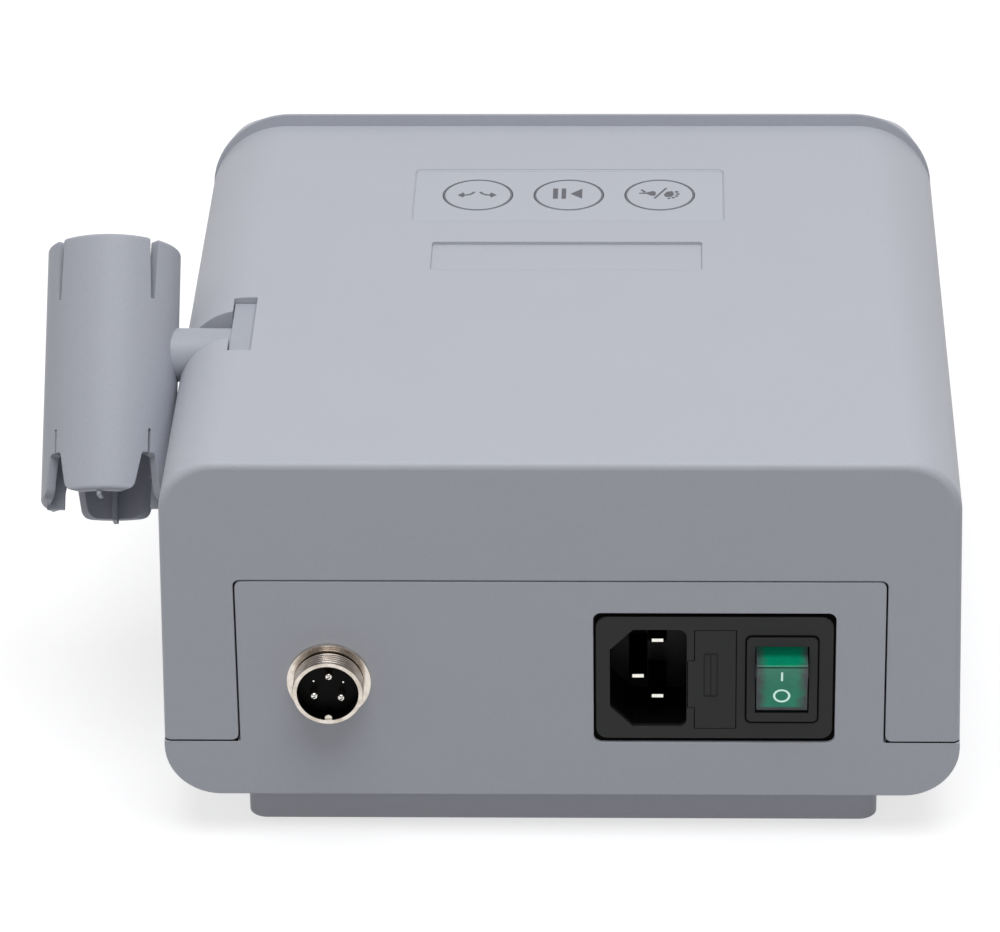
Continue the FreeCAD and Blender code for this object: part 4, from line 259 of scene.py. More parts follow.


# tone, speckle, cloud, grain per metre, gloss, specular level, edge radius in mm, painted edge highlight,
# bump, coat
plastics = {
    "caseGrey": ((0.503, 0.516, 0.569), 0.13, 0.03, 2600, 0.46, 0.42, 0.30, 0.06, 0.25, 0.0),
    "cradleGrey": ((0.440, 0.454, 0.506), 0.18, 0.03, 2200, 0.48, 0.42, 0.30, 0.10, 0.30, 0.0),
    "keypadFilm": ((0.510, 0.526, 0.583), 0.05, 0.02, 3200, 0.42, 0.40, 0.10, 0.04, 0.12, 0.0),
    "modulePlastic": ((0.0232, 0.0232, 0.0240), 0.20, 0.06, 2400, 0.44, 0.26, 0.24, 1.0, 0.22, 0.0),
    # Below, a darker black that paints shade in the fuse symbol's lines
    "paintedShadeRelief": ((0.012, 0.012, 0.013), 0.20, 0.06, 2400, 0.44, 0.20, 0.05, 0.0, 0.22, 0.0),
    # Below, the sockets' insulator black, darkened further as painted shade deep in the sockets
    "socketBlack": ((0.0030, 0.0028, 0.0026), 0.45, 0.30, 900, 0.42, 0.07, 0.10, 0.6, 0.12, 0.0),
    "panelPaint": ((0.16, 0.175, 0.20), 0.12, 0.05, 2800, 0.44, 0.45, 0.25, 0.4, 0.25, 0.0),
    "knobPlastic": ((0.045, 0.046, 0.050), 0.14, 0.08, 2200, 0.38, 0.40, 0.25, 1.4, 0.25, 0.0),
    "printInk": ((0.150, 0.150, 0.170), 0.12, 0.06, 4200, 0.55, 0.30, 0.03, 0.0, 0.10, 0.0),
    "whitePaint": ((0.80, 0.81, 0.80), 0.06, 0.04, 4200, 0.45, 0.40, 0.03, 0.0, 0.12, 0.0),
    "mintPaint": ((0.72, 1.0, 0.88), 0.06, 0.04, 4200, 0.40, 0.40, 0.03, 0.0, 0.10, 0.0),
    # Below, black for painted shade in gaps and for a painted dark reflection on the pins
    "paintedShadeAndReflectionBlack": ((0.003, 0.003, 0.003), 0.30, 0.10, 2400, 0.70, 0.05, 0.03, 0.0, 0.10, 0.0),
    "segmentGrey": ((0.21, 0.20, 0.19), 0.08, 0.04, 3000, 0.50, 0.40, 0.05, 0.0, 0.10, 0.0),
    "footRubber": ((0.030, 0.030, 0.031), 0.30, 0.16, 1500, 0.72, 0.35, 0.30, 0.5, 0.50, 0.0),
    "coreFerrite": ((0.085, 0.086, 0.092), 0.50, 0.20, 1800, 0.62, 0.40, 0.30, 0.8, 0.60, 0.0),
    "sleeveBlue": ((0.030, 0.050, 0.140), 0.08, 0.05, 900, 0.25, 0.50, 0.30, 0.3, 0.08, 0.3),
    "dippedOchre": ((0.55, 0.33, 0.08), 0.14, 0.10, 700, 0.26, 0.50, 0.40, 0.2, 0.15, 0.4),
    "headerWhite": ((0.78, 0.76, 0.68), 0.06, 0.05, 1500, 0.36, 0.45, 0.15, 0.1, 0.12, 0.0),
    "leadGrey": ((0.25, 0.26, 0.27), 0.12, 0.10, 1300, 0.50, 0.40, 0.10, 0.0, 0.15, 0.0),
    "leadBrown": ((0.20, 0.085, 0.035), 0.12, 0.10, 1300, 0.46, 0.40, 0.10, 0.0, 0.15, 0.0),
}

# Moulded marks with a painted glow, standing in for light through them: the strength of the glow
paintedGlows = {"mintPaint": 0.38}

# Plastics with painted shade deep in a hollow: what they start from, mouth and bottom in mm along the back's
# depth, tone left there
hollowShades = {
    "inletPlasticPaintedShade": ("modulePlastic", 83.4, 82.2, 0.05),
    "rockerFramePaintedShade": ("modulePlastic", 84.1, 83.0, 0.05),
}

# tone, tarnish, tarnish share, marks per metre, gloss, gloss spread, edge radius in mm, bump
metals = {
    "platedNickel": ((0.74, 0.68, 0.61), (0.42, 0.35, 0.27), 0.60, 7000, 0.15, 0.14, 0.10, 0.10),
    "zincSteel": ((0.60, 0.60, 0.61), (0.38, 0.37, 0.36), 0.45, 5000, 0.28, 0.20, 0.15, 0.14),
    "platedBrass": ((0.86, 0.80, 0.66), (0.62, 0.50, 0.30), 0.35, 6000, 0.16, 0.12, 0.10, 0.08),
    "pinSilver": ((0.88, 0.86, 0.80), (0.60, 0.55, 0.45), 0.30, 6000, 0.14, 0.10, 0.08, 0.06),
    "threadNickel": ((0.70, 0.62, 0.56), (0.34, 0.27, 0.20), 0.70, 5000, 0.27, 0.16, 0.04, 0.12),
    "extrudedAluminium": ((0.70, 0.71, 0.72), (0.52, 0.53, 0.55), 0.30, 3200, 0.34, 0.22, 0.20, 0.20),
}


def makePlastic(name, tone, speckle, cloud, grain, gloss, specular, radius, paintedEdgeHighlight, bump, coat,
                hollowShade=None, glow=0):
    material, tree, shader = newMaterial(name)
    surface = placeGroup(tree, grainGroup, {"Tone": (*tone, 1), "Speckle": speckle, "Cloud": cloud,
                                            "Grain": grain, "Gloss": gloss})
    edge = placeGroup(tree, edgeGroup, {"Radius": radius * mm})
    # Painted highlight: the tone is lighter along edges
    lift = maths(tree, "MULTIPLY_ADD", edge.outputs["Edge"], paintedEdgeHighlight, 1.0)
    # Painted shade: the tone darkens with depth into the hollow
    if hollowShade:
        mouth, bottom, dark = hollowShade
        depth = placeGroup(tree, hollowShadeGroup, {"Mouth": mouth * mm, "Bottom": bottom * mm, "Dark": dark})
        lift = maths(tree, "MULTIPLY", lift, depth.outputs["Level"])
    shade = scaleColour(tree, surface.outputs["Color"], lift)
    tree.links.new(shade, shader.inputs["Base Color"])
    shader.inputs["Specular IOR Level"].default_value = specular
    finishSurface(tree, shader, surface, edge, bump, "plastic")
    # Painted glow: the tone given out as light
    if glow:
        tree.links.new(shade, shader.inputs["Emission Color"])
        shader.inputs["Emission Strength"].default_value = glow
    if coat:
        shader.inputs["Coat Weight"].default_value = coat
        shader.inputs["Coat Roughness"].default_value = coatGloss
    return material


# Painted shade on the inlet's blades, dark but for their flat tips, in mm: where the tips start, their
# middles, half width and soft rim
bladePaintedShade = {
    "line": (80.00, 80.12), "between": 81.5, "earth": (83.30, 83.42), "dark": 0.02, "lineMiddle": -20.9,
    "earthMiddle": -16.7, "half": 1.2, "rimOut": 0.06, "rimIn": 0.02,
}


# Painted shade: the blades are dark except on their tips near the mouth
def bladeShadeLevel(tree):
    look = bladePaintedShade
    across, depth = objectAxes(tree)[:2]
    line, earth = (remap(tree, depth, look[blade][0] * mm, look[blade][1] * mm, look["dark"])
                   for blade in ("line", "earth"))
    beyond = maths(tree, "GREATER_THAN", depth, look["between"] * mm)  # only the earth blade is that long
    level = addNode(tree, "Mix", {"data_type": "FLOAT"}, i0=beyond, i2=line, i3=earth).outputs[0]
    step = look["earthMiddle"] - look["lineMiddle"]
    middle = maths(tree, "MULTIPLY_ADD", beyond, step * mm, look["lineMiddle"] * mm)
    aside = maths(tree, "ABSOLUTE", maths(tree, "SUBTRACT", across, middle))
    outer, inner = look["half"] + look["rimOut"], look["half"] - look["rimIn"]
    return maths(tree, "MINIMUM", level, remap(tree, aside, outer * mm, inner * mm, look["dark"]))


# Painted shade on the metal between the ridges of the threads: radii in mm, the share left, the smooth lip's
# start
grooveShadeLook = {"low": 7.44, "high": 7.64, "dark": 0.14, "lip": 5.52}


# Painted shade: darker metal inward of the thread crests, up to the lip
def grooveShadeLevel(tree):
    look = grooveShadeLook
    x, y, z = objectAxes(tree)
    rear = maths(tree, "GREATER_THAN", y, 0.0)
    middle = [maths(tree, "MULTIPLY_ADD", rear, (there - here) * mm, here * mm)
              for there, here in zip(socketPlaces["pedal"], socketPlaces["handpiece"])]
    aside, high = maths(tree, "SUBTRACT", x, middle[0]), maths(tree, "SUBTRACT", z, middle[1])
    square = maths(tree, "MULTIPLY_ADD", aside, aside, maths(tree, "MULTIPLY", high, high))
    level = remap(tree, maths(tree, "SQRT", square), look["low"] * mm, look["high"] * mm, look["dark"])
    out = maths(tree, "SUBTRACT", maths(tree, "ABSOLUTE", y), middle[2])
    return maths(tree, "MAXIMUM", level, maths(tree, "GREATER_THAN", out, look["lip"] * mm))


def makeMetal(name, tone, tarnish, share, marks, gloss, spread, radius, bump, level=None):
    material, tree, shader = newMaterial(name)
    surface = placeGroup(tree, metalGroup, {"Tone": (*tone, 1), "Tarnish": (*tarnish, 1), "Marks": marks,
                                            "Tarnish Share": share, "Gloss": gloss, "Gloss Spread": spread})
    edge = placeGroup(tree, edgeGroup, {"Radius": radius * mm})
    shade = surface.outputs["Color"]
    if level:
        shade = scaleColour(tree, shade, level(tree))
    tree.links.new(shade, shader.inputs["Base Color"])
    shader.inputs["Metallic"].default_value = 1.0
    finishSurface(tree, shader, surface, edge, bump, "metal")
    return material


# Smoky green lens: clear in the middle, grey at its sides and foot, with painted shade where its top goes
# into the frame, a painted shade line under its fold, a painted highlight on its edges and a painted glow
rockerLook = {
    "middle": (0.014, 0.205, 0.122, 1), "side": (0.050, 0.056, 0.060, 1), "foot": (0.044, 0.052, 0.053, 1),
    "top": (0.002, 0.215, 0.112, 1), "topSide": (0.052, 0.075, 0.074, 1), "deep": (0.001, 0.090, 0.050, 1),
    "line": (0.001, 0.016, 0.010, 1), "clearHalf": 3.2, "sideHalf": 5.2, "topHalf": 5.4, "edgeHeight": 45.86,
    "edgeSoft": 0.1, "shadeLineHeight": 45.64, "shadeLineHalf": 0.14, "footHeight": 34.1, "footSoft": 0.5,
    "shadeFullDepth": 77.0, "shadeEndDepth": 82.0, "patches": 260.0, "patchReach": 3.4, "glow": 0.35, "specular": 0.28,
    "paintedEdgeHighlight": 0.8, "edgeRadius": 0.3, "bump": 0.05,
    "surface": {"Speckle": 0.14, "Cloud": 0.35, "Grain": 2000, "Gloss": 0.22},
}


def makeRockerGreen():
    look = rockerLook
    material, tree, shader = newMaterial("rockerGreen")
    x, y, z = objectAxes(tree)
    aside = maths(tree, "ABSOLUTE", maths(tree, "SUBTRACT", x, switchX * mm))
    patches = centred(tree, noise(tree, objectPlace(tree), look["patches"]))
    aside = maths(tree, "MULTIPLY_ADD", patches, look["patchReach"] * mm, aside)
    side = remap(tree, aside, look["clearHalf"] * mm, look["sideHalf"] * mm)
    lidSide = remap(tree, aside, look["clearHalf"] * mm, look["topHalf"] * mm)
    fold, soft, foot = look["edgeHeight"], look["edgeSoft"], look["footHeight"]
    above = remap(tree, z, (fold - soft) * mm, (fold + soft) * mm)
    below = remap(tree, z, foot * mm, (foot - look["footSoft"]) * mm)
    # Painted shade: the top darkens to the deep colour where it goes into the frame
    depth = remap(tree, y, look["shadeFullDepth"] * mm, look["shadeEndDepth"] * mm)
    front = mixColour(tree, side, look["middle"], look["side"])
    front = mixColour(tree, below, front, look["foot"])
    # Painted shade: a dark line just under the fold
    line = maths(tree, "COMPARE", z, look["shadeLineHeight"] * mm, look["shadeLineHalf"] * mm)
    front = mixColour(tree, line, front, look["line"])
    lid = mixColour(tree, lidSide, look["top"], look["topSide"])
    lid = mixColour(tree, depth, look["deep"], lid)
    surface = placeGroup(tree, grainGroup, look["surface"])
    tree.links.new(mixColour(tree, above, front, lid), surface.inputs["Tone"])
    edge = placeGroup(tree, edgeGroup, {"Radius": look["edgeRadius"] * mm})
    # Painted highlight: the tone is lighter along the lens's edges
    lift = maths(tree, "MULTIPLY_ADD", edge.outputs["Edge"], look["paintedEdgeHighlight"], 1.0)
    shade = scaleColour(tree, surface.outputs["Color"], lift)
    tree.links.new(shade, shader.inputs["Base Color"])
    tree.links.new(shade, shader.inputs["Emission Color"])  # painted glow: the tone given out as light, standing in for light through the clear plastic
    shader.inputs["Emission Strength"].default_value = look["glow"]
    shader.inputs["Specular IOR Level"].default_value = look["specular"]
    finishSurface(tree, shader, surface, edge, look["bump"], "lens")
    return material


clears = {"smokedWindow": ((0.20, 0.22, 0.25), 0.05, 1.49), "fuseGlass": ((0.90, 0.94, 0.93), 0.03, 1.5)}
clearLook = {
    "surface": {"Speckle": 0.03, "Cloud": 0.06, "Grain": 700, "Gloss Cloud": 0.02}, "edgeRadius": 0.15,
    "bump": 0.02,
}


def makeClear(name, tone, roughness, ior):
    material, tree, shader = newMaterial(name)
    values = {**clearLook["surface"], "Tone": (*tone, 1), "Gloss": roughness}
    surface = placeGroup(tree, grainGroup, values)
    edge = placeGroup(tree, edgeGroup, {"Radius": clearLook["edgeRadius"] * mm})
    tree.links.new(surface.outputs["Color"], shader.inputs["Base Color"])
    shader.inputs["Transmission Weight"].default_value = 1.0
    shader.inputs["IOR"].default_value = ior
    finishSurface(tree, shader, surface, edge, clearLook["bump"], "clear")
    return material


# A surface whose tone and relief follow a pattern
def finishPattern(tree, shader, look, tone, pattern):
    surface = placeGroup(tree, grainGroup, look["surface"])
    tree.links.new(tone, surface.inputs["Tone"])
    tree.links.new(surface.outputs["Color"], shader.inputs["Base Color"])
    tree.links.new(surface.outputs["Roughness"], shader.inputs["Roughness"])
    relief = addNode(tree, "Bump", None, Strength=look["bump"], Distance=look["relief"] * mm, Height=pattern)
    tree.links.new(relief.outputs[0], shader.inputs["Normal"])


# Green solder mask over raised tracks, with tinned through holes
circuitLook = {
    "mask": (0.012, 0.10, 0.045, 1), "track": (0.03, 0.21, 0.09, 1), "via": (0.70, 0.66, 0.55, 1),
    "rows": {"offset": 0.37, "squash": 0.6}, "tracks": 260.0, "trackWidth": 0.09, "trackLength": 1.3,
    "holes": 210.0, "holeSpread": 0.55, "holeSize": 0.13, "bump": 0.4, "relief": 0.05,
    "surface": {"Speckle": 0.08, "Cloud": 0.08, "Grain": 1400, "Gloss": 0.28},
}


def makeCircuitBoard():
    look = circuitLook
    material, tree, shader = newMaterial("circuitBoard")
    place = objectPlace(tree)
    lines = addNode(tree, "TexBrick", look["rows"], Vector=place, Scale=look["tracks"])
    lines.inputs["Mortar Size"].default_value = look["trackWidth"]
    lines.inputs["Brick Width"].default_value = look["trackLength"]
    tracks = lines.outputs["Fac"]
    dots = addNode(tree, "TexVoronoi", None, Vector=place, Scale=look["holes"], Randomness=look["holeSpread"])
    holes = maths(tree, "LESS_THAN", dots.outputs["Distance"], look["holeSize"])
    tone = mixColour(tree, holes, mixColour(tree, tracks, look["mask"], look["track"]), look["via"])
    finishPattern(tree, shader, look, tone, tracks)
    return material


# Yellow polyester tape in overlapping turns
tapeLook = {
    "under": (0.56, 0.40, 0.10, 1), "over": (0.70, 0.55, 0.17, 1), "turns": 90.0, "unevenness": 0.4,
    "bump": 0.4, "relief": 0.1, "surface": {"Speckle": 0.10, "Cloud": 0.12, "Grain": 900, "Gloss": 0.30},
}


def makeWindingTape():
    look = tapeLook
    material, tree, shader = newMaterial("windingTape")
    bands = addNode(tree, "TexWave", {"bands_direction": "Z"}, Vector=objectPlace(tree), Scale=look["turns"],
                    Distortion=look["unevenness"])
    turns = bands.outputs["Fac"]
    finishPattern(tree, shader, look, mixColour(tree, turns, look["under"], look["over"]), turns)
    return material


# Metals with painted shade in places: what they start from, and what paints the shade
shadedMetals = {
    "bladePaintedShade": ("pinSilver", bladeShadeLevel), "threadNickel": ("threadNickel", grooveShadeLevel),
    "socketNickel": ("platedNickel", grooveShadeLevel),
}


def makeFinishes():
    made = {}
    for name, values in plastics.items():
        made[name] = makePlastic(name, *values, glow=paintedGlows.get(name, 0))
    for name, (base, *shadeDepths) in hollowShades.items():
        made[name] = makePlastic(name, *plastics[base], hollowShade=shadeDepths)
    for name, values in metals.items():
        if name not in shadedMetals:
            made[name] = makeMetal(name, *values)
    for name, (base, level) in shadedMetals.items():
        made[name] = makeMetal(name, *metals[base], level=level)
    for name, values in clears.items():
        made[name] = makeClear(name, *values)
    made["rockerGreen"] = makeRockerGreen()
    made["circuitBoard"] = makeCircuitBoard()
    made["windingTape"] = makeWindingTape()
    return made


finishes = makeFinishes()
print("finishes made:", len(finishes))


# What each slot of the record is dressed in
slotFinishes = {
    "case_grey": "caseGrey", "black_plastic": "modulePlastic", "green_plastic": "rockerGreen",
    "window": "smokedWindow", "panel": "panelPaint", "keypad": "keypadFilm", "knob": "knobPlastic",
    "nickel": "platedNickel", "steel": "zincSteel", "brass": "platedBrass", "rubber": "footRubber",
    "circuit_board": "circuitBoard", "aluminium": "extrudedAluminium", "winding": "windingTape",
    "ferrite": "coreFerrite", "capacitor": "sleeveBlue", "ceramic": "dippedOchre",
    "header_white": "headerWhite", "glass": "fuseGlass", "lead_grey": "leadGrey", "lead_brown": "leadBrown",
}
# Nodes whose finish departs from their slot's
nodeFinishes = {
    "mains_module_body": "inletPlasticPaintedShade", "switch_frame": "rockerFramePaintedShade", "inlet_blades": "bladePaintedShade",
    "pedal_socket_insulator": "socketBlack", "handpiece_socket_insulator": "socketBlack",
    "pedal_socket_pins": "pinSilver", "handpiece_socket_pins": "pinSilver",
    "pedal_socket_shell": "socketNickel", "handpiece_socket_shell": "socketNickel",
    "handpiece_cradle": "cradleGrey",
}


def dressNodes():
    for row in frame["record"]["subparts"]:
        node = frame["nodes"][row["node"]]
        node.data.materials.clear()
        finish = nodeFinishes.get(row["node"], slotFinishes[row["material_slot"]])
        node.data.materials.append(finishes[finish])


dressNodes()
print("nodes dressed")


# Makes an object of a bmesh whose sizes are in mm, and lets it ride on a body
def addPiece(name, mesh, finish, body):
    bmesh.ops.scale(mesh, vec=(mm, mm, mm), verts=mesh.verts)
    bmesh.ops.recalc_face_normals(mesh, faces=mesh.faces)
    data = bpy.data.meshes.new(name)
    mesh.to_mesh(data)
    mesh.free()
    piece = bpy.data.objects.new(name, data)
    bpy.context.scene.collection.objects.link(piece)
    data.materials.append(finishes[finish])
    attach(piece, body)
    return piece


def addOutline(mesh, corners):
    return mesh.faces.new([mesh.verts.new((x, y, 0)) for x, y in corners])


# A flat ring, or a part of one
def addBand(mesh, middle, inner, outer, steps, start=0.0, sweep=360.0):
    turn = Matrix.Rotation(math.radians(start), 3, "Z")
    ends = [mesh.verts.new(Vector((*middle, 0)) + turn @ Vector((radius, 0, 0))) for radius in (inner, outer)]
    edge = mesh.edges.new(ends)
    bmesh.ops.spin(mesh, geom=ends + [edge], cent=(*middle, 0), axis=(0, 0, 1), angle=math.radians(sweep),
                   steps=steps, use_merge=sweep == 360.0)


def addRound(mesh, middle, radius, steps):
    bmesh.ops.create_circle(mesh, cap_ends=True, segments=steps, radius=radius,
                            matrix=Matrix.Translation((*middle, 0)))


def addBar(mesh, first, last, width):
    start, end = Vector(first), Vector(last)
    across = (end - start).orthogonal().normalized() * width / 2
    addOutline(mesh, [start - across, end - across, end + across, start + across])


def thicken(mesh, thickness):
    made = bmesh.ops.extrude_face_region(mesh, geom=mesh.faces[:])["geom"]
    raised = [item for item in made if isinstance(item, bmesh.types.BMVert)]
    bmesh.ops.translate(mesh, vec=(0, 0, thickness), verts=raised)


# Lays a flat mark on a node: each vertex goes along direction from the plane start to the node's surface
def layOn(mesh, node, start, direction, reach=0.1):
    data = frame["nodes"][node].data
    tree = BVHTree.FromPolygons([v.co for v in data.vertices], [p.vertices for p in data.polygons])
    along = Vector(direction)
    for vert in mesh.verts:
        raised = vert.co.dot(along)
        origin = vert.co - along * (raised - start)
        hit = tree.ray_cast(origin * mm, along, reach)[0]
        if hit is not None:
            vert.co = hit / mm + along * raised


# The outline of a rectangle with round corners
def addRoundedEdge(mesh, x, y, width, height, radius, steps=6):
    made = bmesh.ops.create_grid(mesh, x_segments=1, y_segments=1, size=0.5)["verts"]
    bmesh.ops.scale(mesh, vec=(width, height, 1), verts=made)
    bmesh.ops.translate(mesh, vec=(x, y, 0), verts=made)
    bmesh.ops.bevel(mesh, geom=made, offset=radius, segments=steps, affect="VERTICES", profile=0.5,
                    material=-1)
    edges = list({edge for face in mesh.faces for edge in face.edges})
    bmesh.ops.delete(mesh, geom=mesh.faces[:], context="FACES_ONLY")
    return edges


# A flat frame between two rounded rectangles: x, y, width, height and corner radius of each
def addFrame(mesh, outer, inner):
    edges = addRoundedEdge(mesh, *outer)
    edges += addRoundedEdge(mesh, *inner)
    bmesh.ops.bridge_loops(mesh, edges=edges)


# Turns a flat drawing to stand against the front face or the back face, and sets it at its depth
def standOnFront(mesh, depth):
    bmesh.ops.rotate(mesh, cent=(0, 0, 0), matrix=Matrix.Rotation(math.pi / 2, 3, "X"), verts=mesh.verts)
    bmesh.ops.translate(mesh, vec=(0, depth, 0), verts=mesh.verts)


def standOnBack(mesh, depth):
    standOnFront(mesh, -depth)
    bmesh.ops.scale(mesh, vec=(1, -1, 1), verts=mesh.verts)


# Printed signs and rings on the three keys, drawn from the front of the unit
keySigns = {
    "top": 93.1, "ink": 0.03, "middleY": -47.15, "pitch": 21.1, "shift": 0.17, "ringInner": 7.58,
    "ringOuter": 7.90, "ringSteps": 96,
}
directionSign = {
    "arcX": 2.75, "arcY": -2.05, "inner": 1.75, "outer": 2.35, "start": 90, "sweep": 78, "steps": 12,
    "head": ((2.76, 0.1), (3.2, -1.3), (4.55, 0.05), (3.3, 1.35)),
}
runSign = {"arrow": ((-3.3, -3.3), (-0.54, -0.6), (-3.3, 1.9)), "bars": ((0.45, 1.5), (2.34, 3.49)),
           "low": -3.4, "high": 2.0}
handFootSign = {
    "stroke": ((-1.73, -3.66), (1.06, 1.82), 0.5),
    "hand": ((0.75, 0.1), (0.75, -1.6), (1.5, -2.1), (2.75, -1.3), (4.6, -1.15), (4.6, -0.65), (2.8, -0.6),
             (2.0, 0.3), (1.2, 0.4)),
    "thumb": ((4.1, -2.8), (3.2, -1.5), 0.6),
    "sole": ((-1.1, 0.0), (-1.7, -1.6), (-3.1, -2.1), (-3.55, -0.4), (-2.9, 1.0), (-1.5, 1.0)),
    "toes": ((-2.3, 1.75, 0.38), (-3.3, 1.45, 0.40), (-4.05, 0.6, 0.42), (-4.4, -0.45, 0.44),
             (-4.1, -1.6, 0.48)),
    "toeSteps": 12,
}


def makeDirectionSign():
    look = directionSign
    sign = bmesh.new()
    for side in (-1, 1):
        addBand(sign, (side * look["arcX"], look["arcY"]), look["inner"], look["outer"], look["steps"],
                look["start"], side * look["sweep"])
        addOutline(sign, [(side * x, y) for x, y in look["head"]])
    return sign


def makeRunSign():
    low, high = runSign["low"], runSign["high"]
    sign = bmesh.new()
    addOutline(sign, runSign["arrow"])
    for left, right in runSign["bars"]:
        addOutline(sign, [(left, low), (right, low), (right, high), (left, high)])
    return sign


# A pointing hand, a stroke and a foot with its toes
def makeHandFootSign():
    look = handFootSign
    sign = bmesh.new()
    addBar(sign, *look["stroke"])
    addOutline(sign, look["hand"])
    addBar(sign, *look["thumb"])
    addOutline(sign, look["sole"])
    for x, y, radius in look["toes"]:
        addRound(sign, (x, y), radius, look["toeSteps"])
    return sign


def placeSign(mesh, x):
    thicken(mesh, keySigns["ink"])
    place = (x, keySigns["middleY"], keySigns["top"])
    bmesh.ops.translate(mesh, vec=place, verts=mesh.verts)


def makeKeySigns():
    drawings = {"direction": makeDirectionSign, "run_pause": makeRunSign, "hand_foot": makeHandFootSign}
    for column, (name, drawSign) in zip((1, 0, -1), drawings.items()):
        x = column * keySigns["pitch"]
        sign = drawSign()
        placeSign(sign, x + keySigns["shift"])
        addPiece(name + "_sign", sign, "printInk", name + "_key")
        ring = bmesh.new()
        addBand(ring, (0, 0), keySigns["ringInner"], keySigns["ringOuter"], keySigns["ringSteps"])
        placeSign(ring, x)
        addPiece(name + "_ring", ring, "printInk", name + "_key")


makeKeySigns()

# A soft slope in the step round the keypad: width, height and corner radius of each edge
keypadBead = {
    "middleY": -46.45, "inner": (71.30, 26.50, 1.15), "outer": (72.16, 27.36, 1.58), "top": 93.11,
    "rise": 0.34, "deep": 0.30,
}


def makeKeypadBead():
    look = keypadBead
    bead = bmesh.new()
    outerEdge = addRoundedEdge(bead, 0, look["middleY"], *look["outer"])
    lifted = list({vert for edge in outerEdge for vert in edge.verts})
    bmesh.ops.translate(bead, vec=(0, 0, look["rise"]), verts=lifted)
    innerEdge = addRoundedEdge(bead, 0, look["middleY"], *look["inner"])
    bmesh.ops.bridge_loops(bead, edges=outerEdge + innerEdge)
    thicken(bead, -look["deep"])
    bmesh.ops.translate(bead, vec=(0, 0, look["top"]), verts=bead.verts)
    addPiece("keypad_bead", bead, "caseGrey", "case")


makeKeypadBead()

# The I and O on the rocker
rockerMarks = {
    "x": -47.75, "iBottom": 41.25, "iTop": 44.1, "iWidth": 0.44, "iCuts": 3, "oMiddle": 36.9, "oWide": 3.72,
    "oHigh": 3.6, "oLine": 0.46, "oSteps": 64, "paint": 0.03, "startY": 95.0,
}


def makeRockerMarks():
    look = rockerMarks
    bar = bmesh.new()
    half, low, high = look["iWidth"] / 2, look["iBottom"], look["iTop"]
    addOutline(bar, [(-half, low), (half, low), (half, high), (-half, high)])
    bmesh.ops.subdivide_edges(bar, edges=bar.edges[:], cuts=look["iCuts"], use_grid_fill=True)
    ring = bmesh.new()
    addBand(ring, (0, 0), look["oWide"] / 2 - look["oLine"], look["oWide"] / 2, look["oSteps"])
    bmesh.ops.scale(ring, vec=(1, look["oHigh"] / look["oWide"], 1), verts=ring.verts)
    bmesh.ops.translate(ring, vec=(0, look["oMiddle"], 0), verts=ring.verts)
    for part, name in ((bar, "rocker_on_mark"), (ring, "rocker_off_mark")):
        thicken(part, look["paint"])
        standOnBack(part, 0.0)
        bmesh.ops.translate(part, vec=(look["x"], 0, 0), verts=part.verts)
        layOn(part, "rocker", -look["startY"], (0, -1, 0))
        # The marks' finish carries a painted glow
        addPiece(name, part, "mintPaint", "rocker")


makeRockerMarks()
print("signs made")


# Painted shade in the joints round the mains module and the switch, as black sheets: width, height and corner
# radius of what they go round
moduleJointShade = {
    "middleX": -33.2, "flangeZ": 40.7, "flange": (51.3, 30.4, 2.6), "flangeGap": 0.04,
    "recess": (52.2, 32.5, 1.7), "recessDepth": 82.56, "recessShade": 0.25, "frame": (15.2, 20.9, 1.0),
    "shadeSheet": 0.42, "shadeBelow": 0.35, "shadeProud": 0.05,
}


def makeModuleJointShade():
    look = moduleJointShade
    x, z, gap = look["middleX"], look["flangeZ"], look["flangeGap"]
    # Painted shade: a black sheet in the recess round the module's flange
    recessShade = bmesh.new()
    wide, high, corner = look["flange"]
    addFrame(recessShade, (x, z, *look["recess"]), (x, z, wide + gap, high + gap, corner))
    thicken(recessShade, look["recessShade"])
    standOnBack(recessShade, look["recessDepth"])
    addPiece("module_painted_shade", recessShade, "paintedShadeAndReflectionBlack", "case")
    # Painted shade: a black sheet round the switch frame
    shadeSheet = bmesh.new()
    wide, high, corner = look["frame"]
    around, below = look["shadeSheet"], look["shadeBelow"]  # wider below the frame, whose lip hides a part of it
    addFrame(shadeSheet, (switchX, z - below / 2, wide + 2 * around, high + 2 * around + below, corner + around),
             (switchX, z, wide, high, corner))
    thicken(shadeSheet, look["shadeProud"])
    standOnBack(shadeSheet, backFace)
    addPiece("switch_painted_shade", shadeSheet, "paintedShadeAndReflectionBlack", "case")


# The raised fuse symbol on the drawer: a frame with a line through it, in a darker black that paints the
# shade of its lines
fuseSign = {
    "x": -32.4, "z": 41.5, "wide": 3.1, "high": 10.8, "line": 0.28, "corner": 0.5, "lineGap": 0.02,
    "proud": 0.10,
}


def makeFuseSign():
    look = fuseSign
    x, z, wide, high, line, corner = (look[key] for key in ("x", "z", "wide", "high", "line", "corner"))
    sign = bmesh.new()
    addFrame(sign, (x, z, wide, high, corner), (x, z, wide - 2 * line, high - 2 * line, corner - line / 2))
    reach = high / 2 - line - look["lineGap"]
    addBar(sign, (x, z - reach), (x, z + reach), line)
    thicken(sign, look["proud"])
    standOnBack(sign, backFace)
    addPiece("fuse_sign", sign, "paintedShadeRelief", "fuse_carrier")


makeModuleJointShade()
makeFuseSign()

# Painted shade in the joint between the cover and the base: a black sheet on both sides of the base's tongue
seamShadeLook = {
    "low": 24.51, "high": 0.38, "halfWide": 86.55, "back": 83.70, "front": -73.0, "deep": 0.5, "corner": 1.5,
    "tongue": 70.45,
}


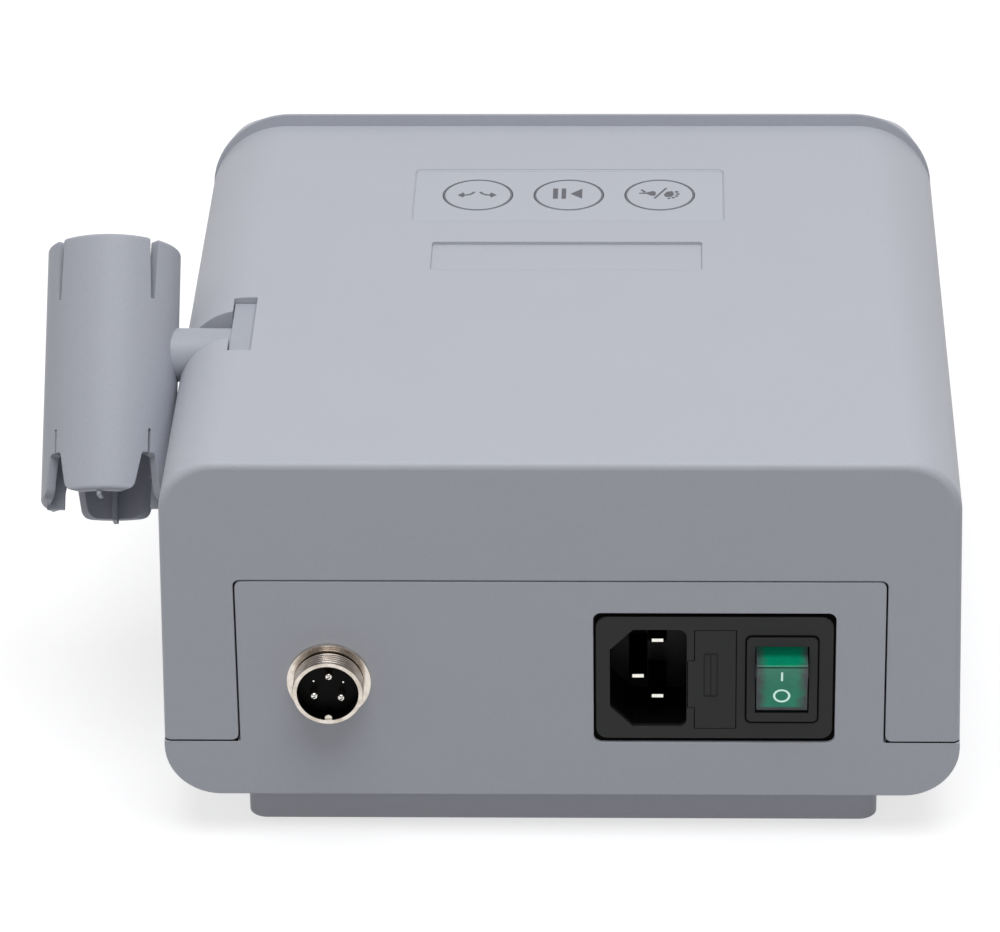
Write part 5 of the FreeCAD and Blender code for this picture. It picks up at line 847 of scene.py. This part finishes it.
def makeSeamShade():
    look = seamShadeLook
    shadeSheet = bmesh.new()
    long = 2 * (look["back"] - look["front"])
    wide, deep, middle = 2 * look["halfWide"], look["deep"], look["back"] - long / 2
    for side in (-1, 1):
        half = bmesh.new()
        addFrame(half, (0, middle, wide, long, look["corner"]),
                 (0, middle, wide - 2 * deep, long - 2 * deep, look["corner"] - deep))
        cuts = (((side * look["tongue"], 0, 0), (-side, 0, 0)), ((0, look["front"], 0), (0, -1, 0)))
        for spot, away in cuts:
            bmesh.ops.bisect_plane(half, geom=half.verts[:] + half.edges[:] + half.faces[:], plane_co=spot,
                                   plane_no=away, clear_outer=True)
        flat = bpy.data.meshes.new("half")
        half.to_mesh(flat)
        half.free()
        shadeSheet.from_mesh(flat)
        bpy.data.meshes.remove(flat)
    thicken(shadeSheet, look["high"])
    bmesh.ops.translate(shadeSheet, vec=(0, 0, look["low"]), verts=shadeSheet.verts)
    addPiece("seam_painted_shade", shadeSheet, "paintedShadeAndReflectionBlack", "case")


makeSeamShade()

# Round threads on both sockets
socketLook = {
    "threadStart": 1.9, "threadPitch": 0.8, "threadCount": 5, "threadMiddle": 7.37, "threadRound": 0.29,
    "roundSteps": 16, "turnSteps": 72,
}


def addBead(mesh, place):
    look = socketLook
    made = bmesh.ops.create_circle(mesh, segments=look["roundSteps"], radius=look["threadRound"],
                                   matrix=Matrix.Translation((look["threadMiddle"], place, 0)))
    edges = list({edge for vert in made["verts"] for edge in vert.link_edges})
    bmesh.ops.spin(mesh, geom=made["verts"] + edges, cent=(0, 0, 0), axis=(0, 1, 0), angle=2 * math.pi,
                   steps=look["turnSteps"], use_merge=True)


# way is 1 on the back of the case, -1 on its front
def makeSocketThread(name, way):
    look = socketLook
    x, z, distance = socketPlaces[name]
    thread = bmesh.new()
    for number in range(look["threadCount"]):
        addBead(thread, look["threadStart"] + number * look["threadPitch"])
    bmesh.ops.scale(thread, vec=(1, way, 1), verts=thread.verts)
    bmesh.ops.translate(thread, vec=(x, way * distance, z), verts=thread.verts)
    for face in thread.faces:
        face.smooth = True
    addPiece(name + "_thread", thread, "threadNickel", "case")


makeSocketThread("pedal", 1)
makeSocketThread("handpiece", -1)

# Rivets in the pedal socket's insulator, and a painted dark reflection on each pin as a black bar
pedalDetails = {
    "rivetZ": 41.15, "rivetTilt": 0.11, "rivetSpread": 3.2, "rivetRadius": 0.21, "rivetSteps": 16,
    "face": 86.15, "proud": 0.08, "pins": 3, "pinCircle": 3.4, "pinTurn": 4.0, "reflectionBack": 88.70,
    "reflectionDeep": 0.20, "reflectionLength": 0.75, "reflectionWidth": 0.24, "reflectionTurn": -28.0,
}


def makePedalDetails():
    look = pedalDetails
    x, z = socketPlaces["pedal"][:2]
    rivets = bmesh.new()
    for side in (-1, 1):
        middle = (x + side * look["rivetSpread"], look["rivetZ"] + side * look["rivetTilt"])
        addRound(rivets, middle, look["rivetRadius"], look["rivetSteps"])
    thicken(rivets, look["proud"])
    standOnBack(rivets, look["face"])
    addPiece("pedal_rivets", rivets, "pinSilver", "case")
    # Painted reflection: dark bars on the pins' tips
    pinReflections = bmesh.new()
    reach = Matrix.Rotation(math.radians(look["reflectionTurn"]), 2) @ Vector((look["reflectionLength"] / 2, 0))
    for number in range(look["pins"]):
        angle = math.radians(90 + look["pinTurn"] + 360 / look["pins"] * number)
        spot = Vector((x, z)) + look["pinCircle"] * Vector((math.cos(angle), math.sin(angle)))
        addBar(pinReflections, spot - reach, spot + reach, look["reflectionWidth"])
    thicken(pinReflections, look["reflectionDeep"])
    standOnBack(pinReflections, look["reflectionBack"])
    addPiece("pedal_pin_painted_reflections", pinReflections, "paintedShadeAndReflectionBlack", "case")


makePedalDetails()
print("back details made")


# The speed dial: ticks and numbers printed on the front panel, and the painted pointer on the knob
dialLook = {
    "x": 47.0, "z": 61.0, "panel": -90.25, "ink": 0.04, "start": 140.0, "sweep": 280.0, "steps": 40,
    "longEvery": 5, "inner": 22.3, "short": 23.5, "long": 24.4, "words": 26.4, "wordHeight": 3.0,
    "line": 0.28, "numbers": ("0", "10", "20", "30", "40"), "weld": 0.0001,
}
pointerLook = {"angle": 140.0, "inner": 7.15, "outer": 15.85, "width": 1.3, "floor": -107.35, "paint": 0.12}


def dialSpot(share, radius):
    angle = math.radians(dialLook["start"] - dialLook["sweep"] * share)
    return Vector((dialLook["x"] - math.sin(angle) * radius, dialLook["z"] + math.cos(angle) * radius))


def addWords(mesh, words, height, spot):
    curve = bpy.data.curves.new("words", "FONT")
    curve.body, curve.size = words, height
    curve.align_x, curve.align_y = "CENTER", "CENTER"
    holder = bpy.data.objects.new("words", curve)
    flat = bpy.data.meshes.new_from_object(holder)
    flat.transform(Matrix.Translation((*spot, 0)))
    mesh.from_mesh(flat)
    bpy.data.objects.remove(holder)
    bpy.data.curves.remove(curve)
    bpy.data.meshes.remove(flat)


def makeDial():
    look = dialLook
    dial = bmesh.new()
    for step in range(look["steps"] + 1):
        share = step / look["steps"]
        reach = look["short"] if step % look["longEvery"] else look["long"]
        addBar(dial, dialSpot(share, look["inner"]), dialSpot(share, reach), look["line"])
    last = len(look["numbers"]) - 1
    for number, words in enumerate(look["numbers"]):
        addWords(dial, words, look["wordHeight"], dialSpot(number / last, look["words"]))
    bmesh.ops.remove_doubles(dial, verts=dial.verts, dist=look["weld"])
    thicken(dial, look["ink"])
    standOnFront(dial, look["panel"])
    addPiece("speed_dial", dial, "whitePaint", "case")


def makePointer():
    look = pointerLook
    pointer = bmesh.new()
    turn = Matrix.Rotation(math.radians(look["angle"]), 2)
    middle = Vector((dialLook["x"], dialLook["z"]))
    ends = [middle + turn @ Vector((0, look[end])) for end in ("inner", "outer")]
    addBar(pointer, *ends, look["width"])
    thicken(pointer, look["paint"])
    standOnFront(pointer, look["floor"])
    addPiece("speed_pointer", pointer, "whitePaint", "speed_control")


makeDial()
makePointer()

# Unlit seven-segment figures on the display module, behind the smoked window
figuresLook = {
    "x": -14.0, "z": 66.0, "face": -84.55, "count": 4, "pitch": 11.0, "wide": 6.2, "high": 11.4, "line": 1.25,
    "gap": 0.35, "lean": 0.10, "proud": 0.08,
}


def makeFigures():
    look = figuresLook
    figures = bmesh.new()
    half, tall, gap = look["wide"] / 2, look["high"] / 2, look["gap"] + look["line"] / 2
    for column in range(look["count"]):
        x = look["x"] + (column - (look["count"] - 1) / 2) * look["pitch"]
        for level in (-1, 0, 1):
            addBar(figures, (x - half + gap, level * tall), (x + half - gap, level * tall), look["line"])
        for side in (-1, 1):
            for low, high in ((-tall, 0), (0, tall)):
                addBar(figures, (x + side * half, low + gap), (x + side * half, high - gap), look["line"])
    for vert in figures.verts:
        vert.co.x += vert.co.y * look["lean"]
    bmesh.ops.translate(figures, vec=(0, look["z"], 0), verts=figures.verts)
    thicken(figures, look["proud"])
    standOnFront(figures, look["face"])
    addPiece("display_figures", figures, "segmentGrey", "case")


makeFigures()
print("front details made")


# Floor, backdrop and light
stageLook = {
    "floorSize": 6.0, "floorTone": (0.42, 0.42, 0.425, 1), "floorRoughness": 0.9, "floorGlow": 0.70,
    "white": (1, 1, 1, 1), "skyLight": 0.31, "ceiling": 0.26, "horizon": 0.05, "ceilingStart": 0.5,
}
lampLook = {
    "topLamp": {"energy": 30.6, "size": 1.5, "place": (-0.1, 0.52, 2.1), "tint": (0.965, 0.982, 1.0)},
    "sideLamp": {"energy": 1.3, "size": 1.0, "place": (1.6, 0.5, 0.9), "tint": (1, 1, 1)},
    "frontLamp": {"energy": 3.6, "size": 1.2, "place": (-0.3, -1.3, 1.4), "tint": (1, 1, 1)},
}
lampAim = (0, 0, 0.05)


# 1 for what the camera sees, straight or in metal and glass
def seenRay(tree):
    rays = addNode(tree, "LightPath").outputs
    both = maths(tree, "MAXIMUM", rays["Is Glossy Ray"], rays["Is Transmission Ray"])
    return maths(tree, "MAXIMUM", rays["Is Camera Ray"], both)


# White for the camera and near the horizon, a dimmer ceiling in metal, so that plating shows a change
def skyStrength(tree):
    look = stageLook
    rays = addNode(tree, "LightPath").outputs
    direction = addNode(tree, "TexCoord").outputs["Generated"]
    height = addNode(tree, "SeparateXYZ", None, Vector=direction).outputs[2]
    ceiling = remap(tree, height, look["horizon"], look["ceilingStart"], 1.0, look["ceiling"])
    extra = maths(tree, "SUBTRACT", ceiling, look["skyLight"])
    strength = maths(tree, "MULTIPLY_ADD", rays["Is Glossy Ray"], extra, look["skyLight"])
    plain = maths(tree, "MAXIMUM", rays["Is Camera Ray"], rays["Is Transmission Ray"])
    return maths(tree, "MAXIMUM", strength, plain)


def makeFloor():
    look = stageLook
    mesh = bmesh.new()
    bmesh.ops.create_grid(mesh, x_segments=1, y_segments=1, size=look["floorSize"] / 2)
    data = bpy.data.meshes.new("floor")
    mesh.to_mesh(data)
    mesh.free()
    floor = bpy.data.objects.new("floor", data)
    bpy.context.scene.collection.objects.link(floor)
    material, tree, shader = newMaterial("paleFloor")
    shader.inputs["Base Color"].default_value = look["floorTone"]
    shader.inputs["Roughness"].default_value = look["floorRoughness"]
    shader.inputs["Specular IOR Level"].default_value = 0.0
    shader.inputs["Emission Color"].default_value = look["white"]
    glow = maths(tree, "MULTIPLY", seenRay(tree), look["floorGlow"])
    tree.links.new(glow, shader.inputs["Emission Strength"])
    data.materials.append(material)


def makeSky():
    world = bpy.data.worlds.new("sky")
    bpy.context.scene.world = world
    world.use_nodes = True
    tree = world.node_tree
    sky = tree.nodes["Background"]
    sky.inputs["Color"].default_value = stageLook["white"]
    tree.links.new(skyStrength(tree), sky.inputs["Strength"])


def makeLamps():
    for name, look in lampLook.items():
        light = bpy.data.lights.new(name, "AREA")
        light.energy, light.size, light.color = look["energy"], look["size"], look["tint"]
        lamp = bpy.data.objects.new(name, light)
        lamp.location = look["place"]
        aim = Vector(lampAim) - Vector(look["place"])
        lamp.rotation_euler = aim.to_track_quat("-Z", "Y").to_euler()
        bpy.context.scene.collection.objects.link(lamp)


makeFloor()
makeSky()
makeLamps()
bpy.context.scene.view_settings.view_transform = "Standard"
print("stage set")
